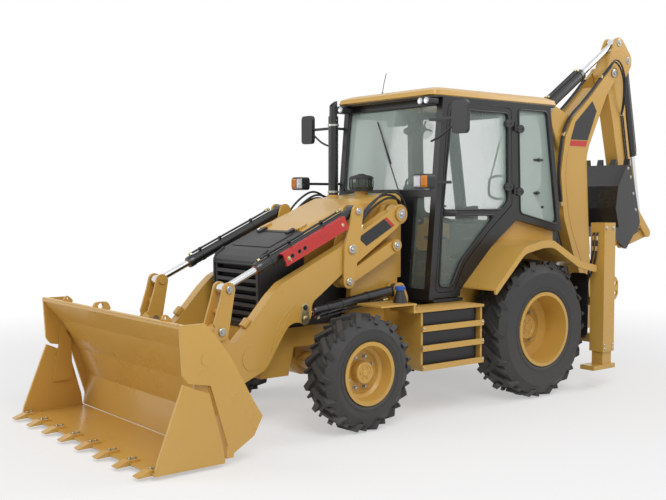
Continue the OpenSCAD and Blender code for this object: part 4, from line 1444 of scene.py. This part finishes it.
@dataclass
class LoaderTrim:
    """Panels, pin ends, keepers, lines, hoses and welds of the loader."""

    arm_face: float = 0.584
    arm_y: float = 0.532
    hose_ys: Point = (0.500, 0.532, 0.564)
    pins: dict[str, Place] = field(default_factory=lambda: {
        "P0": (1.430, 1.766), "P1": (2.014, 1.472), "Q0": (1.460, 1.488), "Q1": (2.044, 1.194),
        "T0": (1.944, 1.797), "T1": (3.257, 1.198), "V": (3.327, 0.873), "B": (3.390, 0.290),
        "D": (1.430, 1.090), "E": (2.500, 0.935)})
    pin_ends: tuple[tuple[str, float, float, str], ...] = (
        ("P0", 0.606, 0.044, "chassis"), ("Q0", 0.582, 0.036, "chassis"),
        ("D", 0.594, 0.028, "chassis"), ("P1", 0.622, 0.040, "rear_levers"),
        ("T0", 0.622, 0.031, "rear_levers"),
        ("Q1", 0.622, 0.033, "rear_levers"), ("T1", 0.622, 0.031, "front_levers"),
        ("V", 0.622, 0.031, "lever_pins"), ("B", 0.638, 0.034, "bucket_pins"))
    welds: tuple[Outline, ...] = (
        ((2.838, 0.650), (2.822, 0.760), (2.765, 0.880), (2.680, 0.975), (2.590, 1.040)),
        ((2.770, 0.800), (2.735, 0.840), (2.690, 0.905), (2.655, 0.965)))

    def build(self) -> None:
        """Make the loader's trim on both sides."""
        for side in SIDES:
            self._panel(side)
            self._pin_ends(side)
            self._keeper(side)
            self._cylinder(side, "tilt", ("T0", "T1"), 0.028, 1.110, 1)
            self._cylinder(side, "lift", ("D", "E"), 0.026, 0.965, -1)
            self._hoses(side)
            self._welds(side)
            self._brace(side)

    def _panel(self, side: Side) -> None:
        """The blank black panel at the rear of an arm, with its red end.

        Args:
            side: Which side.
        """
        foot = Vector((1.398, 1.688))
        run, rise = Vector((0.8816, -0.4721)), Vector((0.4721, 0.8816))
        near, far = side.sign * (self.arm_face - 0.001), side.sign * (self.arm_face + 0.0018)
        for label, start, stop, finish in (("black", 0.150, 0.490, BLACK),
                                           ("red", 0.118, 0.146, RED)):
            corners = ((start - 0.02, 0.030), (stop - 0.02, 0.030), (stop + 0.03, 0.140),
                       (start + 0.03, 0.140))
            work = Work().plate([foot + run * u + rise * v for u, v in corners], near, far)
            work.piece(f"arm_panel_{label}_{side.word}", "loader_arms", finish)

    def _pin_ends(self, side: Side) -> None:
        """Retaining plates and bolt heads on the linkage pins.

        Args:
            side: Which side.
        """
        for name, out, r, body in self.pin_ends:
            x, z = self.pins[name]
            spot = side.at(x, out, z)
            disc = [(0, -0.002), (r, -0.002), (r, 0.003), (r * 0.86, 0.007), (r * 0.60, 0.007),
                    (r * 0.56, 0.004), (0, 0.004)]
            work = Work().lathe(spot, side.out, disc, 36)
            work.bolt(spot + side.out * 0.004, side.out, r * 0.40, 0.012)
            work.piece(f"pin_end_{name}_{side.word}", body, STEEL)

    def _keeper(self, side: Side) -> None:
        """The keeper plate of the lift rod's pin, with its bolt.

        Args:
            side: Which side.
        """
        x, z = self.pins["E"]
        skin = self.arm_face + 0.009
        half_turn = [math.pi * i / 12 for i in range(13)]
        shape = [(x - 0.046 * math.cos(a), z - 0.030 - 0.046 * math.sin(a)) for a in half_turn]
        shape += [(x + 0.034 * math.cos(a), z + 0.070 + 0.034 * math.sin(a)) for a in half_turn]
        work = Work().plate(shape, side.sign * (self.arm_face - 0.001), side.sign * skin)
        work.lathe(side.at(x, skin, z - 0.022), side.out,
                   [(0, -0.002), (0.022, -0.002), (0.022, 0.006), (0.016, 0.009), (0, 0.009)], 28)
        work.piece("keeper_E_" + side.word, "loader_arms", ZINC, bevel=0.003)
        work = Work().bolt(side.at(x, skin, z + 0.068), side.out, 0.016, 0.014)
        work.piece("keeper_bolt_E_" + side.word, "loader_arms", BLACK)

    def _cylinder(self, side: Side, label: str, ends: tuple[str, str], rod: float, tip: float,
                  way: int, r: float = 0.046, low: float = 0.13) -> None:
        """Gland, wiper ring and steel line of a tilt or lift cylinder.

        Args:
            side: Which side.
            label: The cylinder's name.
            ends: The pins at its two ends.
            rod: The rod's radius.
            tip: How far along the barrel ends.
            way: 1 for a line above the barrel, -1 for one below it.
            r: The barrel's radius.
            low: How far along the line starts.
        """
        line = Along(self.pins[ends[0]], self.pins[ends[1]], side.sign * self.arm_y)
        body, over = label + "_barrels", way * (r + 0.017)
        add_gland(f"{label}_gland_{side.word}", line, r, rod, tip, body)
        route = ((tip - 0.052, way * (r - 0.004)), (tip - 0.052, over - way * 0.004),
                 (tip - 0.075, over), ((low + tip) / 2, over), (low + 0.10, over),
                 (low, over + way * 0.006))
        work = Work().bend([line.place(u, v) for u, v in route], 0.0095)
        work.piece(f"{label}_line_{side.word}", body, CYLINDER, ROUND)
        work = Work()
        for u in (low + 0.22, (low + tip) / 2 + 0.10, tip - 0.16):
            for v, inner, outer, sides in ((0, r - 0.001, r + 0.004, 36),
                                           (over, 0.0090, 0.0135, 16)):
                band = [(inner, -0.011), (outer, -0.011), (outer, 0.011), (inner, 0.011)]
                work.lathe(line.place(u, v), line.run, band, sides)
        work.piece(f"{label}_bands_{side.word}", body, CYLINDER)
        work = Work()
        for u, rise in ((low, 0.004), (low + 0.03, 0.004), (tip - 0.052, -0.006)):
            work.union(line.place(u, over + way * rise), line.run, 0.0155, 0.012)
        work.piece(f"{label}_unions_{side.word}", body, ZINC)

    def _hoses(self, side: Side) -> None:
        """Hoses that arch from the tower onto the arm over the lift pin, and the block they end on.

        Args:
            side: Which side.
        """
        for k, (y, rise) in enumerate(zip(self.hose_ys, (0.032, 0.0, 0.064))):
            route = ((1.330, y - 0.045, 1.700), (1.346 - 0.3 * rise, y - 0.020, 1.815),
                     (1.412, y, 1.895 + 0.6 * rise), (1.550, y, 1.905 + rise),
                     (1.700, y, 1.830 + rise), (1.802 + 0.3 * rise, y, 1.742 + 0.5 * rise),
                     (1.868, y, 1.660))
            work = Work().bend([side.at(*p) for p in route], 0.0105, 8)
            obj = work.piece(f"arm_hose_{k}_{side.word}", "", HOSE, ROUND)
            tuple(side.at(1.40, y, 1.88))
            tuple(side.at(1.80, y, 1.74))
            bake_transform(obj)
        work = Work()
        for y in self.hose_ys:
            work.lathe(side.at(1.872, y, 1.652), Vector((0.55, 0, -0.84)),
                       [(0, -0.030), (0.015, -0.030), (0.015, 0.024), (0, 0.024)], 6)
        slope = Matrix.Rotation(0.49, 4, "Y")
        work.box((1.850, 0.486, 1.612), (1.906, 0.578, 1.640), slope, side.sign)
        work.piece("arm_hose_block_" + side.word, "loader_arms", ZINC, bevel=0.003)

    def _welds(self, side: Side) -> None:
        """Weld lines and the stop block on an arm.

        Args:
            side: Which side.
        """
        work = Work()
        for route in self.welds:
            work.bend([side.at(x, self.arm_face + 0.0005, z) for x, z in route], 0.0035, 6, 8)
        work.piece("arm_welds_" + side.word, "loader_arms", YELLOW, ROUND)
        slope = Matrix.Rotation(0.82, 4, "Y")
        work = Work().box((3.020, 0.500, 0.895), (3.100, 0.564, 0.935), slope, side.sign)
        work.piece("arm_stop_" + side.word, "loader_arms", YELLOW, bevel=0.006)

    def _brace(self, side: Side) -> None:
        """Holes, pin and clip of the red arm brace.

        Args:
            side: Which side.
        """
        line = Along(self.pins["T0"], self.pins["T1"], side.sign * (self.arm_y + 0.101))
        work = Work()
        rim = [(0, 0.0), (0.013, 0.0), (0.015, 0.0015), (0.018, 0.0015), (0.020, -0.001)]
        for u in (0.66, 0.72, 0.80):
            work.lathe(line.place(u, -0.026), side.out, rim, 24)
        work.piece("brace_holes_" + side.word, "tilt_barrels", BLACK)
        work = Work()
        for u in (0.22, 0.84):
            work.bolt(line.place(u, -0.026), side.out, 0.012, 0.010)
        work.sweep([line.place(0.828, v) for v in (-0.060, -0.018)], 0.006)
        work.piece("brace_pins_" + side.word, "tilt_barrels", ZINC)


@dataclass
class BucketTrim:
    """Bolts, plugs and welds of the loader bucket and its clam."""

    half: float = 1.200
    teeth: int = 8
    tooth_span: float = 2.220
    side_plugs: Outline = ((3.920, 0.965), (3.800, 0.930), (3.690, 0.800))
    corner: Outline = ((4.000, 1.008), (3.884, 0.846), (3.716, 0.572), (3.630, 0.332),
                       (3.654, 0.152))

    def build(self) -> None:
        """Make the bucket's trim."""
        work = Work()
        for k in range(self.teeth):
            y = -self.half + 0.090 + k * self.tooth_span / (self.teeth - 1)
            for x in (4.172, 4.212):
                work.bolt(at(x, y, 0.066), UP, 0.013, 0.011)
        work.piece("tooth_bolts", "clam", STEEL)
        work = Work()
        for side in SIDES:
            for x, z in self.side_plugs:
                work.lathe(side.at(x, self.half - 0.024, z), -side.out,
                           [(0, 0), (0.018, 0), (0.016, 0.006), (0, 0.007)], 20)
        for k in range(8):
            work.bolt(at(3.604, -1.05 + 0.30 * k, 0.078), -AHEAD, 0.012, 0.010)
        work.piece("bucket_bolts", "loader_bucket", STEEL)
        work = Work().sweep([at(4.026, -1.176, 1.040), at(4.026, 1.176, 1.040)], 0.008, 8)
        for side in SIDES:
            work.bend([side.at(x, 1.174, z) for x, z in self.corner], 0.006, 5, 8)
        work.piece("bucket_welds", "loader_bucket", YELLOW, ROUND)


@dataclass
class BackhoeTrim:
    """Panel, lines, hoses, pin ends and bolts of the backhoe."""

    y: float = 0.380
    pins: dict[str, Place] = field(default_factory=lambda: {
        "F": (-1.460, 0.720), "G": (-1.825, 3.282), "J": (-0.800, 2.840), "SE": (-1.986, 3.639),
        "C0": (-2.163, 3.455), "H": (-2.270, 1.600), "J2": (-2.560, 1.507), "R0": (-2.230, 1.850),
        "BC0": (-1.225, 0.962), "BC1": (-0.820, 1.950)})
    pin_ends: tuple[tuple[str, float, float, str], ...] = (
        ("F", 0.166, 0.038, "boom"), ("G", 0.138, 0.046, "stick"), ("J", 0.090, 0.032, "boom"),
        ("SE", 0.080, 0.042, "stick"), ("C0", 0.080, 0.038, "stick"), ("H", 0.140, 0.030, "stick"),
        ("R0", 0.114, 0.028, "stick"), ("BC0", 0.074, 0.028, "swing_post"),
        ("BC1", 0.082, 0.036, "boom"))
    black_panel: Outline = ((-1.085, 2.530), (-1.160, 2.715), (-1.450, 2.955), (-1.525, 2.850),
                            (-1.372, 2.530))
    red_panel: Outline = ((-1.070, 2.462), (-1.084, 2.522), (-1.370, 2.522), (-1.345, 2.462))
    welds: tuple[Outline, ...] = (
        ((-1.375, 1.080), (-1.232, 1.350), (-1.075, 1.710), (-1.012, 2.180), (-1.060, 2.450)),
        ((-1.440, 1.300), (-1.395, 1.700), (-1.355, 2.180), (-1.348, 2.350)))
    boom_back: Outline = ((-0.965, 1.830), (-0.918, 2.180), (-0.978, 2.572), (-1.096, 2.768),
                          (-1.290, 2.925), (-1.452, 3.062), (-1.640, 3.238))
    stick_side: Outline = ((-2.030, 2.850), (-2.060, 2.700), (-2.105, 2.480), (-2.150, 2.270))
    cutter_bolts: Outline = ((-1.955, 2.140), (-2.010, 1.960), (-2.060, 1.780), (-1.905, 2.235))

    def build(self) -> None:
        """Make the backhoe's trim."""
        self._panels()
        self._pin_ends()
        self._cylinder("boom", ("BC0", "BC1"), 0.052, 0.032, 0.939, -1)
        self._cylinder("stick", ("J", "SE"), 0.058, 0.034, 0.740, 1)
        self._cylinder("curl", ("C0", "J2"), 0.050, 0.030, 1.080, 1)
        self._boom_hoses()
        self._stick_loops()
        self._stick_lines()
        work = Work()
        for side in SIDES:
            for x, z in self.cutter_bolts:
                work.bolt(at(x + 0.035, self.y + side.sign * 0.300, z), side.out, 0.013, 0.011)
        work.piece("dig_bucket_bolts", "dig_bucket", STEEL)

    def _panels(self) -> None:
        """The blank black panel with its red end, and the welds, on both faces of the boom."""
        for side in SIDES:
            skin = self.y + side.sign * 0.130
            for label, shape, finish in (("black", self.black_panel, BLACK),
                                         ("red", self.red_panel, RED)):
                work = Work().plate(shape, skin - side.sign * 0.001, skin + side.sign * 0.002)
                work.piece(f"boom_panel_{label}_{side.word}", "boom", finish)
            work = Work()
            for route in self.welds:
                work.bend([at(x, skin, z) for x, z in route], 0.004, 6, 8)
            work.piece("boom_welds_" + side.word, "boom", YELLOW, ROUND)

    def _pin_ends(self) -> None:
        """Retaining plates and bolt heads on the pins."""
        for name, out, r, body in self.pin_ends:
            x, z = self.pins[name]
            work = Work()
            for side in SIDES:
                spot = at(x, self.y + side.sign * out, z)
                work.lathe(spot, side.out, [(0, -0.002), (r, -0.002), (r, 0.004), (r * 0.84, 0.009),
                                            (r * 0.58, 0.009), (r * 0.54, 0.005), (0, 0.005)], 32)
                work.bolt(spot + side.out * 0.005, side.out, r * 0.38, 0.011)
            work.piece("pin_end_" + name, body, STEEL)

    def _cylinder(self, label: str, ends: tuple[str, str], r: float, rod: float, tip: float,
                  way: int) -> None:
        """Gland and steel lines of a boom, stick or curl cylinder.

        Args:
            label: The cylinder's name.
            ends: The pins at its two ends.
            r: The barrel's radius.
            rod: The rod's radius.
            tip: How far along the barrel ends.
            way: 1 for lines above the barrel, -1 for lines below it.
        """
        line, body = Along(self.pins[ends[0]], self.pins[ends[1]], self.y), label + "_barrel"
        add_gland(label + "_gland", line, r, rod, tip, body)
        route = ((tip - 0.045, -0.006), (tip - 0.050, 0.012), (tip - 0.080, 0.016),
                 (tip * 0.5, 0.016), (0.16, 0.016), (0.10, 0.024))
        pipes, unions = Work(), Work()
        for aside in (0.016, -0.016):
            pipes.bend([line.place(u, way * (r + over), aside) for u, over in route], 0.0085)
            for u, over in ((0.11, 0.022), (tip - 0.05, 0.012)):
                unions.union(line.place(u, way * (r + over), aside), line.run, 0.0145, 0.013)
        pipes.piece(label + "_lines", body, CYLINDER, ROUND)
        unions.piece(label + "_unions", body, ZINC)

    def _boom_hoses(self) -> None:
        """Hoses up the boom's back."""
        unions = Work()
        for k, dy in enumerate((0.100, 0.118, -0.100, -0.118)):
            route = [at(x, self.y + dy, z) for x, z in self.boom_back]
            Work().bend(route, 0.0095, 8).piece(f"boom_hose_{k}", "boom", HOSE, ROUND)
            for u, v in ((route[0], route[1]), (route[2], route[3]), (route[-1], route[-2])):
                unions.union(u.lerp(v, 0.05), v - u, 0.0145, 0.024)
        unions.piece("boom_hose_unions", "boom", ZINC)

    def _stick_loops(self) -> None:
        """The loops from the boom to the stick."""
        for k, dy in enumerate((0.152, 0.174)):
            y, rise = self.y + dy, 0.02 * k
            route = [at(-1.640, y - 0.045, 3.240), at(-1.700, y, 3.330),
                     at(-1.790, y, 3.400 + rise), at(-1.900, y, 3.360 + rise),
                     at(-1.975, y, 3.220), at(-2.010, y - 0.020, 3.020),
                     at(-2.030, self.y + 0.092 + 0.004 * k, 2.840)]
            obj = Work().bend(route, 0.0095, 8).piece(f"stick_loop_{k}", "", HOSE, ROUND)
            tuple(at(-1.70, y, 3.33))
            tuple(at(-1.975, y, 3.20))
            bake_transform(obj)

    def _stick_lines(self) -> None:
        """The stick's own lines and their valve."""
        pipes, unions = Work(), Work()
        for k in (0, 1):
            back, y = 0.030 * k, self.y + 0.090 + 0.001 * k
            route = [at(x - back, y, z) for x, z in self.stick_side]
            pipes.bend(route, 0.008)
            for spot in (route[0], route[-1]):
                unions.union(spot, Vector((0.1, 0, 1)), 0.013, 0.02)
        pipes.piece("stick_lines", "stick", CYLINDER, ROUND)
        unions.piece("stick_unions", "stick", ZINC)
        work = Work().box((-2.215, self.y + 0.080, 2.130), (-2.135, self.y + 0.112, 2.265),
                          Matrix.Rotation(0.18, 4, "Y"))
        work.piece("stick_valve", "stick", BLACK, bevel=0.008)


@dataclass
class StepTrim:
    """Toolbox faces, tread studs, filler cap, mud flaps and stabilizer hoses."""

    boxes: Outline = ((0.440, 0.588), (0.610, 0.758), (0.780, 0.928))
    studs: int = 24
    stud_pitch: float = 0.0345
    stud_rows: tuple[tuple[float, float], ...] = (
        (0.985, 0.0), (0.950, 0.017), (0.915, 0.0), (0.880, 0.017), (0.845, 0.0))
    flap: Outline = ((0.735, 0.500), (0.975, 0.500), (0.975, 1.150), (0.735, 1.150))
    filler: Point = (1.700, 0.880, 1.015)
    latch: Point = (1.600, 0.930, 0.952)

    def build(self) -> None:
        """Make the trim of both steps and both rear corners."""
        for side in SIDES:
            self._steps(side)
            self._flap(side)
            self._stabilizer(side)
        self._filler()

    def _steps(self, side: Side) -> None:
        """Dark toolbox faces behind the steps, and studs along the treads.

        Args:
            side: Which side.
        """
        work = Work()
        for low, high in self.boxes:
            work.box((0.812, 0.780, low), (1.526, 0.935, high), sign=side.sign)
            work.box((0.840, 0.930, low + 0.020), (1.498, 0.942, high - 0.014), sign=side.sign)
        work.piece("toolbox_" + side.word, "chassis", PLASTIC, bevel=0.005)
        work = Work()
        bead = [(0.0055, 0.0004), (0.0065, 0.0016), (0.0075, 0.0004)]
        stud = [(0.009, 0), (0.007, 0.004), (0.005, 0.004), (0.004, 0.001)]
        for x in (0.815 + self.stud_pitch * k for k in range(self.studs)):
            work.lathe(side.at(x, 1.010, 0.941), side.out, bead, 12)
            for y, shift in self.stud_rows:
                work.lathe(side.at(x + shift, y, 0.952), UP, stud, 10)
        work.piece("tread_studs_" + side.word, "chassis", YELLOW, ROUND)
        work = Work()
        for x in (0.797, 1.541):
            for z in (0.450, 0.620, 0.790):
                work.bolt(side.at(x, 1.010, z), side.out, 0.008, 0.008)
        work.piece("step_bolts_" + side.word, "chassis", STEEL)

    def _flap(self, side: Side) -> None:
        """The bowed mud flap behind a rear tyre.

        Args:
            side: Which side.
        """
        shape = [(y, z, 0.025 * ((z - 0.80) / 0.35) ** 2) for y, z in soften(self.flap, 0.07)]
        work = Work().shell(*([side.at(x - bow, y, z) for y, z, bow in shape]
                              for x in (-0.772, -0.784)))
        for z in (0.860, 0.480):
            work.box((-0.890, 0.800, z), (-0.776, 0.880, z + 0.030), sign=side.sign)
        work.piece("mud_flap_" + side.word, "chassis", HOSE, bevel=0.003)

    @staticmethod
    def _stabilizer(side: Side) -> None:
        """The hoses and bolts on a stabilizer.

        Args:
            side: Which side.
        """
        hoses, unions = Work(), Work()
        for y in (1.030, 1.072):
            route = [side.at(-0.806, y, 1.560), side.at(-0.790, y, 1.540),
                     side.at(-0.788, y, 1.440), side.at(-0.790, y - 0.010, 1.330),
                     side.at(-0.798, y - 0.050, 1.200),
                     side.at(-0.800, 0.960, 1.060), side.at(-0.850, 0.930, 0.905)]
            hoses.bend(route, 0.011, 8)
            for u, v in ((route[1], route[2]), (route[2], route[3])):
                unions.union(u.lerp(v, 0.3), v - u, 0.0165, 0.022)
        hoses.piece("stabilizer_hoses_" + side.word, "chassis", HOSE, ROUND)
        unions.piece("stabilizer_unions_" + side.word, "chassis", ZINC)
        work = Work()
        for z, half, radius, height in ((1.610, 0.055, 0.016, 0.012), (0.400, 0.065, 0.010, 0.009),
                                        (0.440, 0.065, 0.010, 0.009)):
            for x in (-0.900 - half, -0.900 + half):
                work.bolt(side.at(x, 1.150, z), side.out, radius, height)
        work.piece("stabilizer_bolts_" + side.word, "chassis", STEEL)

    def _filler(self) -> None:
        """The filler neck with its blue cap, and the latch beside it."""
        spot, foot = at(*self.filler), at(*self.latch)
        neck = [(0, -0.002), (0.062, -0.002), (0.060, 0.012), (0.038, 0.085), (0.034, 0.110),
                (0, 0.110)]
        cap = [(0, 0), (0.041, 0), (0.043, 0.006), (0.043, 0.030), (0.036, 0.038), (0, 0.040)]
        base = [(0, -0.001), (0.020, -0.001), (0.020, 0.014), (0.012, 0.018), (0.010, 0.050),
                (0, 0.052)]
        Work().lathe(spot, UP, neck, 36).piece("filler_neck", "chassis", PLASTIC, 40)
        work = Work().lathe(spot + UP * 0.106, UP, cap, 36)
        for a in turns(12):
            rim = spot + Vector((0.043 * math.cos(a), 0.043 * math.sin(a), 0))
            work.sweep([rim + UP * 0.112, rim + UP * 0.138], 0.004, 6)
        work.piece("filler_cap", "chassis", BLUE, 40)
        work = Work().lathe(foot, UP, base, 20)
        work.sweep([foot + Vector((-0.04, 0, 0.040)), foot + Vector((0.05, 0, 0.044))], 0.008)
        work.piece("platform_latch", "chassis", ZINC)


def main() -> None:
    """Load the frame, dress it piece by piece and light it."""
    logging.basicConfig(level=logging.INFO, format="%(name)s: %(message)s")
    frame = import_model()
    Studio().build()
    Paintwork(frame["nodes"]).dress(frame["record"])
    for trim in (WheelTrim(), CabTrim(), HoodTrim(), LoaderTrim(), BucketTrim(), BackhoeTrim(),
                 StepTrim(), Interior()):
        trim.build()


if __name__ == "__main__":
    main()
